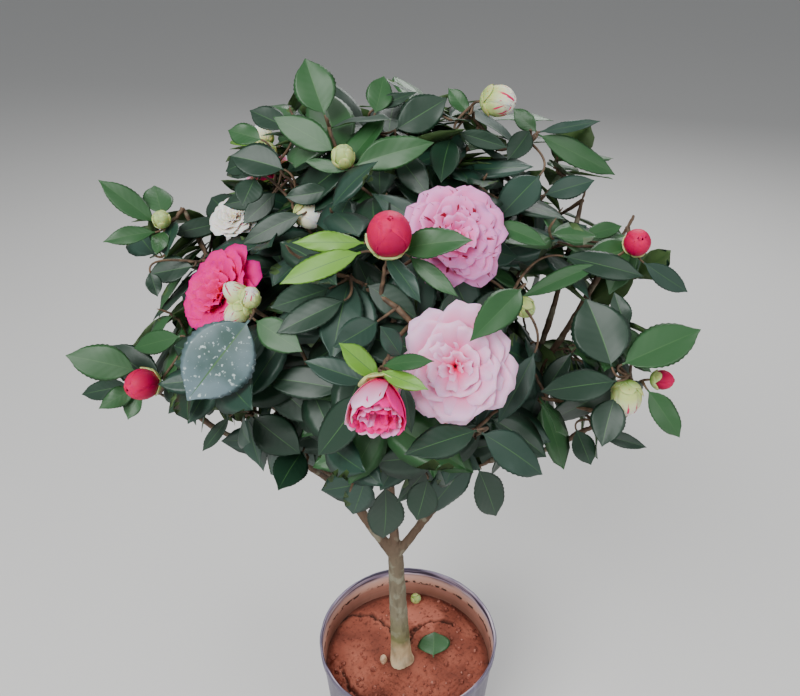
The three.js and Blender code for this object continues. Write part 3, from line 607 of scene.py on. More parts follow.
# %% Balls to keep clear of
OUTLOOK = {"toward": (0, -0.86, 0.5), "length": 240, "share": 0.8}
LANE_STEP = 0.6
BOUGH_STEP = 5


def ball_rows(points, radii, shoot=-1):
    """Rows of x, y, z, radius and the number of the shoot that owns the ball, or -1."""
    return np.column_stack([points, np.broadcast_to(radii, len(points)), np.full(len(points), shoot)])


def lane_balls(at, toward, radius, length, shoot=-1):
    """Balls along a straight line, a share of their radius apart."""
    count = math.ceil(length / (radius * LANE_STEP))
    points = np.array(at) + unit(np.array(toward)) * np.linspace(0, length, count + 1)[:, None]
    return ball_rows(points, radius, shoot)


def bough_balls(row, controls):
    """Balls along a bough, one for about every 5 mm of it, and 1 mm larger than the wood."""
    count = math.ceil(curve_length(controls) / BOUGH_STEP) + 1
    return ball_rows(bezier(controls, np.linspace(0, 1, count)), bough_radii(row, count) + 1)


limb_balls = np.concatenate([bough_balls(row, boughs[name]) for name, row in MASSES.items()])
all_balls = np.concatenate([limb_balls, *[lane_balls(*lane, LANE_LENGTH) for lane in LANES]])
print(len(all_balls), "balls to keep clear of")

# %% [markdown]
# A leaf is first placed as a simple blade of seven points, and gets its true shape later. It stands at an
# angle from its shoot, hangs a little, and turns its upper face to the light.

# %% The place of a leaf
NOON = np.array([0, 1, 0.35])
LEAF_HANG = 0.15
LEAF_APART = 11
LOWEST_LEAF_SHARE = 0.8
SPREAD_STEP_DEG = 7
WIDEST_SPREAD_DEG = 82
LEAST_SIZE, MORE_SIZE = 0.86, 0.26
# How much a leaf's face turns along its shoot, up to the light, and out of the crown.
FACE_SHARES = (0.55, 0.65, 0.35)
BLADE_HALF_MM = 1.6
LEAF_EDGE = np.array([0, 1, 2, 3, 4, 5])
LEAF_TOP = np.array([[0, 1, 5], [5, 1, 2], [5, 2, 4], [4, 2, 3]])
# Of each point: its shares of the leaf's width and of its length.
LEAF_SHAPE = np.array([[0, 0], [0.48, 0.38], [0.42, 0.72], [0, 1], [-0.42, 0.72], [-0.48, 0.38], [0, 0.068]])


def square(v, axis):
    """The part of v that stands square to the axis, as a unit vector."""
    return unit(v - axis * (v @ axis))


def around(toward, spread, clock):
    """A direction at an angle from the shoot: 0 o'clock is up, and 90 degrees is right in the front view."""
    u = square(NOON, toward)
    out = u * math.cos(math.radians(clock)) + np.cross(u, toward) * math.sin(math.radians(clock))
    return toward * math.cos(math.radians(spread)) + out * math.sin(math.radians(spread))


def point_along(points, share):
    """The point at a share of the way along a row of points."""
    place = share * (len(points) - 1)
    before = min(int(place), len(points) - 2)
    return points[before] + (points[before + 1] - points[before]) * (place - before)


def leaf_at(shoot, place, clock, share):
    """Root, frame and size of one leaf. Lower leaves stand out more from the shoot."""
    first_spread, first_back = FIRST_LEAF[shoot["bloom"]]
    spread = min(first_spread + SPREAD_STEP_DEG * place, max(first_spread, WIDEST_SPREAD_DEG))
    way = unit(around(shoot["toward"], spread, clock) - LEAF_HANG * UP)
    ahead, up, out = FACE_SHARES
    face = ahead * shoot["toward"] + up * UP + out * unit(shoot["at"] - CROWN_CENTRE)
    scale = shoot.get("scale", 1)
    size = share * scale * (LEAST_SIZE + MORE_SIZE * float(noise(shoot["seed"] * 7.1 + place * 3.3)))
    back = min((first_back + LEAF_APART * place * scale) / shoot["length"], LOWEST_LEAF_SHARE)
    leaf = {"root": point_along(shoot["points"], 1 - back), "way": way, "normal": square(face, way)}
    return leaf | {"length": LEAF_LENGTH * size, "width": LEAF_WIDTH * size}


def leaf_points(leaf):
    """Seven points: root, two on each margin, the tip, and the keel under the root."""
    side = np.cross(leaf["way"], leaf["normal"])
    across, along = LEAF_SHAPE[:, 0] * leaf["width"], LEAF_SHAPE[:, 1] * leaf["length"]
    down = -LEAF_CURL * leaf["length"] * LEAF_SHAPE[:, 1] ** 2
    down[6] = -BLADE_HALF_MM
    flat = leaf["root"] + np.outer(across, side) + np.outer(along, leaf["way"])
    return flat + np.outer(down, leaf["normal"])


print("a leaf is", LEAF_LENGTH, "by", LEAF_WIDTH, "mm")

# %% [markdown]
# Leaves that cross are the first thing to look false in a plant, so each is tested before it stays. If it
# would cut another leaf, touch a ball or leave its space, a small turn or a smaller size is tried, as a
# growing leaf finds its way past its neighbours. Each try is a turn in degrees and a share of the size.

# %% Leaves that find room
TRIES = [(0, 1), (14, 0.95), (-14, 0.95), (30, 0.9), (-30, 0.9)]
TRIES += [(0, 0.78), (48, 0.82), (-48, 0.82), (20, 0.68), (-20, 0.68)]
LEAF_MARGIN = 1.2
NEAR_LEAF = 100


def edges_cut(starts, ways, faces):
    """True if any edge passes through any triangle: the hit's three shares are all inside their bounds."""
    a, ab, ac = faces[:, 0], faces[:, 1] - faces[:, 0], faces[:, 2] - faces[:, 0]
    across = np.cross(ways[:, None], ac[None])
    scale = (ab * across).sum(-1)
    scale = np.where(np.abs(scale) < 1e-9, np.inf, scale)
    start = starts[:, None] - a
    swept = np.cross(start, ab)
    u = (start * across).sum(-1) / scale
    v = (ways[:, None] * swept).sum(-1) / scale
    t = (ac * swept).sum(-1) / scale
    return bool(((u >= 0) & (v >= 0) & (u + v <= 1) & (t > 0) & (t <= 1)).any())


def crosses(points, others):
    """True if the leaf cuts one of the others, or one of them cuts it."""
    others = others[np.linalg.norm(others.mean(1) - points.mean(0), axis=1) < NEAR_LEAF]
    if not len(others):
        return False
    starts = points[LEAF_EDGE]
    if edges_cut(starts, np.roll(starts, -1, axis=0) - starts, others[:, LEAF_TOP].reshape(-1, 3, 3)):
        return True
    starts = others[:, LEAF_EDGE]
    ways = (np.roll(starts, -1, axis=1) - starts).reshape(-1, 3)
    return edges_cut(starts.reshape(-1, 3), ways, points[LEAF_TOP])


def meets(leaf, balls):
    """True if a ball reaches into the blade's slab, which curls down towards the tip."""
    d = balls[:, :3] - leaf["root"]
    r = balls[:, 3]
    s = d @ leaf["way"]
    down = LEAF_CURL * leaf["length"] * np.clip(s / leaf["length"], 0, 1) ** 2
    hit = (s > -r) & (s < leaf["length"] + r)
    hit &= np.abs(d @ np.cross(leaf["way"], leaf["normal"])) < leaf["width"] / 2 + r
    hit &= np.abs(d @ leaf["normal"] + down) < r + BLADE_HALF_MM
    return bool(hit.any())


def leaf_that_fits(shoot, place, clock, balls, others, spaced):
    """The first try that is free of balls and of other leaves, and inside its space."""
    balls = balls[balls[:, 4] != shoot["seed"]]
    for turn, share in TRIES:
        leaf = leaf_at(shoot, place, clock + turn, share)
        points = leaf_points(leaf)
        if not inside_edge(points) or (spaced and not in_space(shoot["mass"], points, LEAF_MARGIN)):
            continue
        if not meets(leaf, balls) and not (len(others) and crosses(points, others)):
            return leaf, points
    return None, None


def leaves_for(shoot, balls, others, spaced):
    """All leaves of a shoot that find room, each a record and its seven points."""
    found, shapes = [], list(others)
    for place, clock in enumerate(shoot["leaves"]):
        leaf, points = leaf_that_fits(shoot, place, clock, balls, np.array(shapes), spaced)
        if leaf:
            found.append({**leaf, "shoot": shoot, "place": place})
            shapes.append(points)
    return found, shapes[len(others) :]


print(len(TRIES), "tries for each leaf")

# %% [markdown]
# A twig grows from the nearest node of older wood from which it can leave at an angle without touching
# anything. Each twig then has nodes of its own, so later ones branch from it, as a real shrub's do.

# %% Where a twig can grow
STEM_SHARES = np.array([0.25, 0.5, 0.75, 0.97])
STEM_START = 0.35
STEM_RADIUS = 3.2
BOUGH_POINTS_APART = 62
THINNEST = 1.8
THINNING = 0.85
NODES_TRIED = 14
NODE_APART = 12
STRAIGHTEST = 0.88
TWIG_MARGIN = 4
TWIG_GAP = 3.8
TWIG_POINTS = 13
TWIG_STEP = 5
TWIG_SWING = 0.45
PATH_COST = 0.12


def start_mass(name):
    """The first nodes of a mass: four places on the stem, which goes on in line with its bough. Of each
    node: its place, the wood's way there, its radius, and the length of wood from the stem."""
    controls = boughs[name]
    points = bezier(controls, np.linspace(0, 1, math.ceil(curve_length(controls) / BOUGH_POINTS_APART) + 1))
    way = unit(points[-1] - points[-2])
    at = points[-1] + way * (STEM_START + STEM_SHARES[:, None] * MASS_STEM)
    nodes = np.column_stack([at, np.tile(way, (4, 1)), np.full(4, STEM_RADIUS), np.zeros(4)])
    return {"stem": np.array([points[-1], points[-1] + way * MASS_STEM]), "nodes": nodes, "shapes": []}


def twig_for(shoot, mass, balls, spaced):
    """The curve from the node that gives the shortest way, if it stays clear and leaves at an angle. To the
    way counts a share of the wood from the stem to the node."""
    nodes = mass["nodes"]
    far = np.linalg.norm(nodes[:, :3] - shoot["at"], axis=1)
    for k in np.argsort(far + PATH_COST * nodes[:, 7], kind="stable")[:NODES_TRIED]:
        if far[k] <= NODE_APART:
            continue
        controls = [nodes[k, :3], shoot["at"] - shoot["toward"] * TWIG_SWING * far[k], shoot["at"]]
        if tangent(controls, 0) @ nodes[k, 3:6] > STRAIGHTEST:
            continue
        points = bezier(controls, np.linspace(0, 1, math.ceil(far[k] / TWIG_STEP) + 1))
        gaps = np.linalg.norm(points[:, None] - balls[None, :, :3], axis=2) - balls[:, 3]
        if (not spaced or in_space(shoot["mass"], points, TWIG_MARGIN)) and gaps.min() > TWIG_GAP:
            radius = max(THINNING * nodes[k, 6], THINNEST)
            fine = bezier(controls, np.linspace(0, 1, TWIG_POINTS))
            return {"points": fine, "length": curve_length(controls), "radius": radius, "path": nodes[k, 7]}
    return None


def add_twig(shoot, mass):
    """New nodes, one for about every 12 mm of the twig, that later twigs can branch from."""
    count = math.ceil(shoot["length"] / NODE_APART)
    shares = np.arange(1, count) / count
    if len(shares):
        at = np.array([point_along(shoot["points"], share) for share in shares])
        before = np.array([point_along(shoot["points"], share - 1 / count) for share in shares])
        radii = shoot["radius"] + (THINNEST - shoot["radius"]) * shares
        rows = np.column_stack([at, unit(at - before), radii, shoot["path"] + shoot["length"] * shares])
        mass["nodes"] = np.concatenate([mass["nodes"], rows])


masses = [start_mass(name) for name in NAMES]
print(len(masses), "stems with", len(STEM_SHARES), "nodes each")

# %% [markdown]
# A shoot is one leafy tip. Where it ends in a flower, that and the view of it stay free of leaves. Shoots
# that aren't listed follow a golden spiral over the crown, which spreads them evenly from every side, and
# behind the listed ones some of them end in a flower or a bud too.

# %% Shoots and their blooms
GOLDEN_DEG = 137.5
SPIRAL_LEAVES = 7
SPIRAL_RISE = 0.3
# Of each kind: the draw under which a shoot gets it, its least radius, and the radii of room that it needs.
FAR_BLOOMS = [("double", 0.5, 38, 1), ("bud", 0.75, 9, 2)]
FAR_BLOOM_MORE = 6


def bloom_balls(shoot):
    """The bloom's own ball, and for the flowering side the clear view of it."""
    ahead = shoot["size"] / 4 if shoot["bloom"] == "double" else shoot["size"]
    middle = shoot["at"] + shoot["toward"] * ahead
    radius = shoot["size"] * OUTLOOK["share"]
    own = ball_rows(middle[None], radius, shoot["seed"])
    if not shoot["front"]:
        return own
    start = middle + unit(np.array(OUTLOOK["toward"])) * shoot["size"]
    view = lane_balls(start, OUTLOOK["toward"], radius, OUTLOOK["length"], shoot["seed"])
    return np.concatenate([own, view])


def spiral_shoot(i, tries, share, seed):
    """A place of a golden spiral over the crown's egg, from its top down, at a share of the way out."""
    height = 1 - 2 * (i + 0.5) / tries
    turn = i * math.pi * (3 - math.sqrt(5))
    level = math.sqrt(1 - height * height)
    way = np.array([level * math.cos(turn), level * math.sin(turn), height])
    at = CROWN_CENTRE + way * CROWN_REACH * share
    toward = unit(unit(way / CROWN_REACH) + SPIRAL_RISE * UP)
    leaves = [360 * float(noise(i * 1.7)) + GOLDEN_DEG * k for k in range(SPIRAL_LEAVES)]
    shoot = {"at": at, "toward": toward, "leaves": leaves, "seed": seed}
    return shoot | {"height": height, "mass": mass_of(at), "front": False, "bloom": "none", "size": 0}


def fill_bloom(shoot, rank):
    """Behind the listed shoots some others end in a flower or a bud, where their space has room."""
    more = FAR_BLOOM_MORE * float(noise(rank * 2.3))
    draw = float(noise(rank * 2.9))
    for kind, limit, least, radii in FAR_BLOOMS:
        size = least + more
        if draw < limit and in_space(shoot["mass"], shoot["at"], radii * size + LEAF_MARGIN):
            return {"bloom": kind, "size": size}
    return {}


listed = []
for seed, (bloom, size, at, toward, clocks, look) in enumerate(SHOOTS):
    shoot = {"bloom": bloom, "size": size, "leaves": clocks, "look": look, "seed": seed, "front": True}
    shoot |= {"at": np.array(at, float), "toward": unit(np.array(toward, float))}
    listed.append({**shoot, "mass": mass_of(shoot["at"])})
listed.sort(key=lambda shoot: np.linalg.norm(masses[shoot["mass"]]["nodes"][0, :3] - shoot["at"]))

print(len(listed), "shoots wait for their twigs")

# %% [markdown]
# The listed shoots get their twigs first. Then come the large leaves that were read off the picture, each
# with a stalk to the nearest wood, and then the small leaves of the listed shoots between them.

# %% Growing the flowering side
FRONT_SEED = 700
FACE_UP_SHARE = 0.35
STALK_POINTS = 13
STALK_BEND = 0.4
# The clear view of a large leaf: where it starts and its radius, as shares of the leaf's width, and in mm
# how much further it starts and how long it is.
LEAF_VIEW = {"start": 0.4, "radius": 0.36, "further": 4, "length": 150}

shoots, leaves = [], []
for shoot in listed:
    twig = twig_for(shoot, masses[shoot["mass"]], limb_balls, True)
    if twig:
        shoot |= twig
        add_twig(shoot, masses[shoot["mass"]])
        shoots.append(shoot)
in_bloom = [shoot for shoot in shoots if shoot["bloom"] != "none"]
all_balls = np.concatenate([all_balls, *map(bloom_balls, in_bloom)])

front_shapes, stalks = [], []
for seed, (*ends, width, tint) in enumerate(FRONT_LEAVES):
    root, tip = seen_at(*ends[:3]), seen_at(*ends[3:])
    way, middle = unit(tip - root), (root + tip) / 2
    to_eye = unit(EYE - middle)
    leaf = {"root": root, "way": way, "normal": square(to_eye + FACE_UP_SHARE * UP, way), "width": width}
    leaf |= {"length": np.linalg.norm(tip - root), "tint": tint, "place": 1}
    leaf["shoot"] = {"seed": FRONT_SEED + seed, "front": True}
    leaves.append(leaf)
    front_shapes.append(leaf_points(leaf))
    nodes = np.concatenate([mass["nodes"] for mass in masses])
    near = nodes[np.argmin(np.linalg.norm(nodes[:, :3] - root, axis=1)), :3]
    bend = root - way * STALK_BEND * np.linalg.norm(root - near)
    stalks.append(bezier([near, bend, root + way], np.linspace(0, 1, STALK_POINTS)))
    start = middle + to_eye * (LEAF_VIEW["start"] * width + LEAF_VIEW["further"])
    view = lane_balls(start, to_eye, LEAF_VIEW["radius"] * width, LEAF_VIEW["length"])
    all_balls = np.concatenate([all_balls, view])
for mass in masses:
    mass["shapes"] += front_shapes
for shoot in shoots:
    shapes = masses[shoot["mass"]]["shapes"]
    found, points = leaves_for(shoot, all_balls, shapes, True)
    shapes += points
    leaves += found
print(len(shoots), "shoots and", len(leaves), "leaves on the flowering side")

# %% [markdown]
# The rest of the crown is filled by the spiral: most shoots near its skin, and every sixth one deeper. After
# these, smaller sprays fill the same reach, because a living shrub has far more leaves than its solid model.
# A place is skipped if another shoot is near, and a shoot stays only if enough of its leaves find room.

# %% Growing the rest
DEEP_EVERY = 6
DEEP_SHARE = 0.48
# Of the way out to the crown's skin: the least share, and how much a draw adds to it.
FILL_SHARES = (0.74, 0.08)
FINE_SHARES = (0.4, 0.48)
FILL_TRIES = 900
FILL_APART = 76
FILL_LEAVES = 4
FINE_TRIES = 2600
FINE_APART = 45
FINE_SCALE = 0.92
FINE_LEAVES = 3
LOWEST = -0.7
FAR_SIDE_Y = 30


def grow(shoot, shapes, apart, enough, spaced, blooms):
    """Adds a shoot if no other is near, wood is in reach and enough leaves fit. True if it brings a bloom."""
    near = min(np.linalg.norm(other["at"] - shoot["at"]) for other in shoots)
    if shoot["height"] < LOWEST or near < apart:
        return False
    mass = masses[shoot["mass"]]
    twig = twig_for(shoot, mass, all_balls, spaced)
    if not twig:
        return False
    shoot |= twig | (fill_bloom(shoot, len(shoots)) if blooms else {})
    found, points = leaves_for(shoot, all_balls, shapes, spaced)
    if len(found) < enough:
        return False
    add_twig(shoot, mass)
    shapes += points
    leaves.extend(found)
    shoots.append(shoot)
    return shoot["bloom"] != "none"


for i in range(FILL_TRIES):
    deep = i % DEEP_EVERY == 0
    share = DEEP_SHARE if deep else FILL_SHARES[0] + FILL_SHARES[1] * float(noise(i))
    shoot = spiral_shoot(i, FILL_TRIES, share, len(SHOOTS) + i)
    blooms = not deep and shoot["at"][1] >= FAR_SIDE_Y
    if grow(shoot, masses[shoot["mass"]]["shapes"], FILL_APART, FILL_LEAVES, True, blooms):
        all_balls = np.concatenate([all_balls, bloom_balls(shoot)])
print(len(shoots), "shoots and", len(leaves), "leaves at the places of the solids")

every = front_shapes + [shape for mass in masses for shape in mass["shapes"][len(front_shapes) :]]
for i in range(FINE_TRIES):
    share = FINE_SHARES[0] + FINE_SHARES[1] * float(noise(i * 3.1))
    shoot = spiral_shoot(i, FINE_TRIES, share, len(SHOOTS) + FILL_TRIES + i)
    grow(shoot | {"scale": FINE_SCALE}, every, FINE_APART, FINE_LEAVES, False, False)
print(len(shoots), "shoots and", len(leaves), "leaves in all")

# %% [markdown]
# Twigs, leaves, petals and sepals are all closed shells: rings of an even number of points in a row, with
# both ends closed by strips. One function makes the faces for any number of copies at once, so a thousand
# leaves are one set of arrays.

# %% Shells
def shells(rings, uv=None, strip_slots=None):
    """Closed shells from an array of rings: copy, ring, point, xyz. The two ends are closed by strips. The
    second half of a ring is the back of a thin piece, so its faces start a corner on: they are then split
    along the same diagonals as the front, and the back never shows through."""
    copies, rows, n, _ = rings.shape
    sides = grid_faces(rows, n, True).reshape(rows - 1, n, 4)
    sides[:, n // 2 :] = np.roll(sides[:, n // 2 :], -1, axis=2)
    sides = sides.reshape(-1, 4)
    j = np.arange(n // 2 - 1)
    cap = np.stack([j, n - 1 - j, n - 2 - j, j + 1], -1)
    faces = np.concatenate([sides, cap, cap[:, ::-1] + (rows - 1) * n])
    slots = np.zeros(len(faces), int)
    if strip_slots is not None:
        slots[: len(sides)] = np.tile(strip_slots, rows - 1)
    moved = faces[None] + (np.arange(copies) * rows * n)[:, None, None]
    part = {"points": rings.reshape(-1, 3), "faces": moved.reshape(-1, 4), "slots": np.tile(slots, copies)}
    if uv is not None:
        part["uv"] = np.broadcast_to(uv, (copies, rows, n, 2)).reshape(-1, 2)
    return part


def tube_rings(points, radii, n):
    """Rings round paths: path, ring, point, xyz. Each ring stands square to its path, without twist."""
    points = np.asarray(points, float)
    ways = unit(np.gradient(points, axis=1))
    side = np.broadcast_to(unit(np.array([1, 0.3, 0.2])), ways[:, 0].shape)
    sides = []
    for k in range(ways.shape[1]):
        side = unit(side - ways[:, k] * (side * ways[:, k]).sum(-1, keepdims=True))
        sides.append(side)
    sides = np.stack(sides, 1)
    others = np.cross(ways, sides)
    turn = np.arange(n) / n * 2 * np.pi
    ring = sides[:, :, None] * np.cos(turn)[:, None] + others[:, :, None] * np.sin(turn)[:, None]
    return points[:, :, None] + ring * np.asarray(radii)[..., None, None]


check = shells(tube_rings(np.array([[[0, 0, 0], [0, 0, 1.0], [0, 0, 2]]]), np.ones((1, 3)), 6))
print("a test tube has", len(check["faces"]), "faces")

# %% [markdown]
# Camellia bark is thin, smooth and grey-brown, with shallow ridges along the wood and patches of grey-green
# lichen. Painted or photographed bark would need a picture and seams. Here three noises of real size do it:
# long ridges, broad patches that also shift the change from the pale foot to the browner boughs, and spots.
# The grooves between the ridges get painted shade.

# %% Bark
BARK_LEVELS = [(0.1, "#D6C49E"), (0.19, "#BCA880"), (0.25, "#7C7C50"), (0.42, "#7F7862"), (0.9, "#5E4A3A")]

bark, add, shader = new_material("camellia bark", "#7C7360", roughness=0.82)
at = add("TexCoord", out="Object")
ridges = add("TexNoise", blobs(add("Mapping", {"Vector": at, "Scale": (1, 1, 0.25)}), 3, 4))
height = {0: add("TexNoise", blobs(at, 26)), 1: 0.09, 2: add("SeparateXYZ", {"Vector": at}, out="Z")}
height = add("Math", height, operation="MULTIPLY_ADD")
level = add("MapRange", {"Value": height, "From Min": 0.2, "From Max": 0.5})
spots = add("ValToRGB", {"Fac": add("TexNoise", blobs(at, 9))}, [(0.52, "#000000"), (0.62, "#A0A0A0")])
tones = {0: spots, 6: add("ValToRGB", {"Fac": level}, BARK_LEVELS), 7: "#A6A890"}
# Painted shade: the low places of the ridge noise, the grooves between ridges, are darkened.
groove_shade = add("ValToRGB", {"Fac": ridges}, [(0.3, "#5C5244"), (0.5, "#FFFFFF")])
shades = {0: 0.35, 6: add("Mix", tones, data_type="RGBA"), 7: groove_shade}
shaded = add("Mix", shades, data_type="RGBA", blend_type="MULTIPLY")
normal = add("Bump", {"Height": ridges, "Distance": 0.8 * MM})
set_inputs(shader, {"Base Color": shaded, "Normal": normal})
print("bark colours from the foot up:", [colour for _, colour in BARK_LEVELS])

# %% [markdown]
# Where a bough leaves the trunk, the wood of both flows into one. Tubes that only cross would show a crease
# there. So the tubes of the trunk, the boughs and the stems are melted into one skin by a voxel remesh of
# 1.6 mm and relaxed, and that skin is pushed in and out along its normals by noise. Where the trunk meets
# the soil the push fades, so that the foot stays where the CAD model has it.

# %% Trunk and boughs
VOXEL_MM = 1.6
RELAX_ROUNDS = 5
TRUNK_COLUMNS = 24
LIMB_COLUMNS = 12
LIMB_POINTS = 40
STEM_POINTS = 5
STEM_RADII = (3.5, 1.9)
# Of each ridge of the bark: its height and its width in mm, and the seed of its noise.
BARK_RIDGES = [(0.55, 2.6, 3), (0.8, 7, 9)]
BARK_HUMPS = (0.5, 24, 5)
BARK_SUNK = 0.4
CALM_BELOW = (176, 184)


def trunk_rings():
    """Rings of the trunk with its root flare: radius = (taper + flare) * (1 + lobes where it flares)."""
    height = TRUNK_FORK[2] - TRUNK_FOOT[2]
    shares = np.array([0, 0.015, 0.03, 0.055, 0.08, 0.13, 0.2, 0.32, 0.45, 0.6, 0.75, 0.88, 0.97, 1])
    turn = np.arange(TRUNK_COLUMNS) / TRUNK_COLUMNS * 2 * np.pi
    shares = shares[:, None]
    flare = np.exp(-shares * height / FLARE["height"])
    taper = TRUNK_RADII[0] + (TRUNK_RADII[1] - TRUNK_RADII[0]) * shares - 2 * (shares == 1)
    lobes = 1 + FLARE["lobe_share"] * np.cos(FLARE["lobes"] * turn) * flare
    r = (taper + FLARE["radius"] * flare) * lobes
    middle = TRUNK_FOOT + (TRUNK_FORK - TRUNK_FOOT) * shares
    return (middle[:, None] + turned(r, 0, TRUNK_COLUMNS))[None]


def limb_part(name):
    """A bough as the tube of the CAD model, and the stem of its mass in one with it."""
    start, end = masses[NAMES.index(name)]["stem"]
    stem = start + (end - start) * np.linspace(0.2, 1, STEM_POINTS)[:, None]
    points = np.concatenate([bezier(boughs[name], np.linspace(0, 1, LIMB_POINTS)), stem])
    radii = np.concatenate([bough_radii(MASSES[name], LIMB_POINTS), np.linspace(*STEM_RADII, STEM_POINTS)])
    return shells(tube_rings(points[None], radii[None], LIMB_COLUMNS))


wood_part = join([shells(trunk_rings()), *map(limb_part, NAMES)])
rough = make_object("rough_wood", wood_part, [])
remesh = rough.modifiers.new("voxel", "REMESH")
remesh.mode = "VOXEL"
remesh.voxel_size = VOXEL_MM * MM
relax = rough.modifiers.new("relax", "SMOOTH")
relax.iterations = RELAX_ROUNDS
mesh = bpy.data.meshes.new_from_object(rough.evaluated_get(bpy.context.evaluated_depsgraph_get()))
bpy.data.objects.remove(rough)
count = len(mesh.vertices)
co, normals = np.empty(count * 3, np.float32), np.empty(count * 3, np.float32)
mesh.vertices.foreach_get("co", co)
mesh.vertices.foreach_get("normal", normals)
points, normals = co.reshape(-1, 3).astype(float) / MM, normals.reshape(-1, 3)
along = points * [1, 1, 0.3]
relief = sum(deep * grain(along / wide, seed) for deep, wide, seed in BARK_RIDGES)
relief += BARK_HUMPS[0] * grain(points / BARK_HUMPS[1], BARK_HUMPS[2])
calm = 1 - smooth(*CALM_BELOW, points[:, 2])
points += normals * (relief * (1 - calm) - BARK_SUNK)[:, None]
mesh.vertices.foreach_set("co", (points * MM).astype(np.float32).ravel())
mesh.name = "wood"
mesh.update()
mesh.shade_smooth()
mesh.materials.clear()
mesh.materials.append(bark)
wood = bpy.data.objects.new("wood", mesh)
bpy.context.scene.collection.objects.link(wood)
add_piece(wood, "bark", *WOOD_NODES)

# %% [markdown]
# Twigs are this year's and last year's wood, thin, brown and a little streaked. They thin from branch to
# branch, sway a little along their length, and end in a pointed leaf bud. Curve objects with a bevel
# would do, but one function that sweeps a ring along all paths at once is faster. The large leaves that were
# read off the picture have stalks of the same make.

# %% Twigs and stalks
TWIG_TIP_RADIUS = 1.15
TWIG_FOOT_SHARE = 0.95
TWIG_BUD_SHARE = 0.35
TWIG_SWAY = 2.4
TWIG_COLUMNS = 6
STALK_RADII = (1.5, 0.9)

twig_stops = [(0.35, "#4A392C"), (0.65, "#705842")]
twig_bark = grained("young brown twig bark", "#6E5640", 0.7, 3, 3, twig_stops, 0.2)

paths = np.array([shoot["points"] for shoot in shoots])
shares = np.linspace(0, 1, paths.shape[1])
seeds = np.array([shoot["seed"] for shoot in shoots])[:, None]
sway = np.stack([noise(seeds * 3.7 + np.arange(len(shares)) * k) - 0.5 for k in (1.3, 2.1, 2.9)], -1)
paths = paths + sway * TWIG_SWAY * np.sin(np.pi * shares)[None, :, None]
starts = np.array([shoot["radius"] for shoot in shoots])[:, None] * TWIG_FOOT_SHARE
radii = starts + (TWIG_TIP_RADIUS - starts) * shares**0.8
radii[:, -1] *= TWIG_BUD_SHARE
stalk_radii = np.tile(STALK_RADII[0] + (STALK_RADII[1] - STALK_RADII[0]) * shares, (len(stalks), 1))
rings = [tube_rings(paths, radii, TWIG_COLUMNS), tube_rings(np.array(stalks), stalk_radii, TWIG_COLUMNS)]
add_piece(make_object("twigs", join([*map(shells, rings)]), [twig_bark]), "bark", *LEAF_NODES)

# %% [markdown]
# A camellia leaf is thick and glossy: a wax layer lies over the green, so the coat is strong and the layer
# under it is rougher. The leaves of one spray share one tint, dark below, which is partly painted shade, and
# yellow-green on young tips. The veins are only lines in the gloss, so a bump draws them, on the leaf's own
# UV
# map. One large leaf at the front is old: clouds of blue-grey over its green stand partly for dust and partly
# for painted sheen on its gloss, with pale specks.

# %% Leaf materials
TINTS = {"dark": "#143422", "bluish": "#1B3D2F", "mid": "#28562A", "young": "#64982A", "dusty": "#40585A"}
# Blue-grey clouds of the old leaf: partly dust and partly painted sheen of its gloss. The pale specks are
# marks on it.
DUST_AND_SHEEN = [(0.3, "#33504A"), (0.58, "#62787E")]
SPECKS = [(0.62, "#000000"), (0.7, "#FFFFFF")]
VEINS = 8
VEIN_SLANT = -0.45


def vein_height(add):
    """The sine of the place along the leaf, moved by a share of the distance from the midrib."""
    uv = add("UVMap", uv_map="OFBake")
    x, y = (add("SeparateXYZ", {"Vector": uv}, out=axis) for axis in "XY")
    away = add("Math", {0: add("Math", {0: x, 1: 0.5}, operation="SUBTRACT")}, operation="ABSOLUTE")
    slant = add("Math", {0: away, 1: VEIN_SLANT, 2: y}, operation="MULTIPLY_ADD")
    wave = add("Math", {0: slant, 1: 2 * math.pi * VEINS}, operation="MULTIPLY")
    return add("Math", {0: wave}, operation="SINE")


leaf_tops = []
for tint, colour in TINTS.items():
    name = f"glossy camellia leaf, {tint}"
    top, add, shader = new_material(name, colour, roughness=0.55, coat_weight=0.22, coat_roughness=0.3)
    if tint == "dusty":
        at = add("TexCoord", out="Object")
        cloud = add("ValToRGB", {"Fac": add("TexNoise", blobs(at, 16, 2))}, DUST_AND_SHEEN)
        specks = add("ValToRGB", {"Fac": add("TexNoise", blobs(at, 1.5, 2))}, SPECKS)
        dusty = add("Mix", {0: specks, 6: cloud, 7: "#AFC2C0"}, data_type="RGBA")
        set_inputs(shader, {"Base Color": dusty})
    else:
        veins = {"Height": vein_height(add), "Distance": 0.05 * MM, "Strength": 0.6}
        set_inputs(shader, {"Normal": add("Bump", veins)})
    leaf_tops.append(top)
leaf_under, add, shader = new_material("matt leaf underside", "#4A6636", roughness=0.65)
veins = {"Height": vein_height(add), "Distance": 0.08 * MM, "Strength": 0.7}
set_inputs(shader, {"Normal": add("Bump", veins)})
midrib, add, shader = new_material("pale midrib", "#3E663A", roughness=0.5)
grains = add("TexNoise", blobs(add("TexCoord", out="Object"), 2))
set_inputs(shader, {"Normal": add("Bump", {"Height": grains, "Distance": 0.2 * MM})})
print(len(leaf_tops), "leaf tints")

# %% [markdown]
# The blade of a leaf is an ellipse drawn out to a point, folded a little along the midrib, with an edge that
# waves. It could be one modelled leaf used again and again, but then all would be alike, so each is worked
# out from its own numbers. The front leaves are fine enough to show their toothed edge, and the thousands of
# others have a few dozen faces. A leaf is a thin closed shell with a narrow strip along it as its midrib.

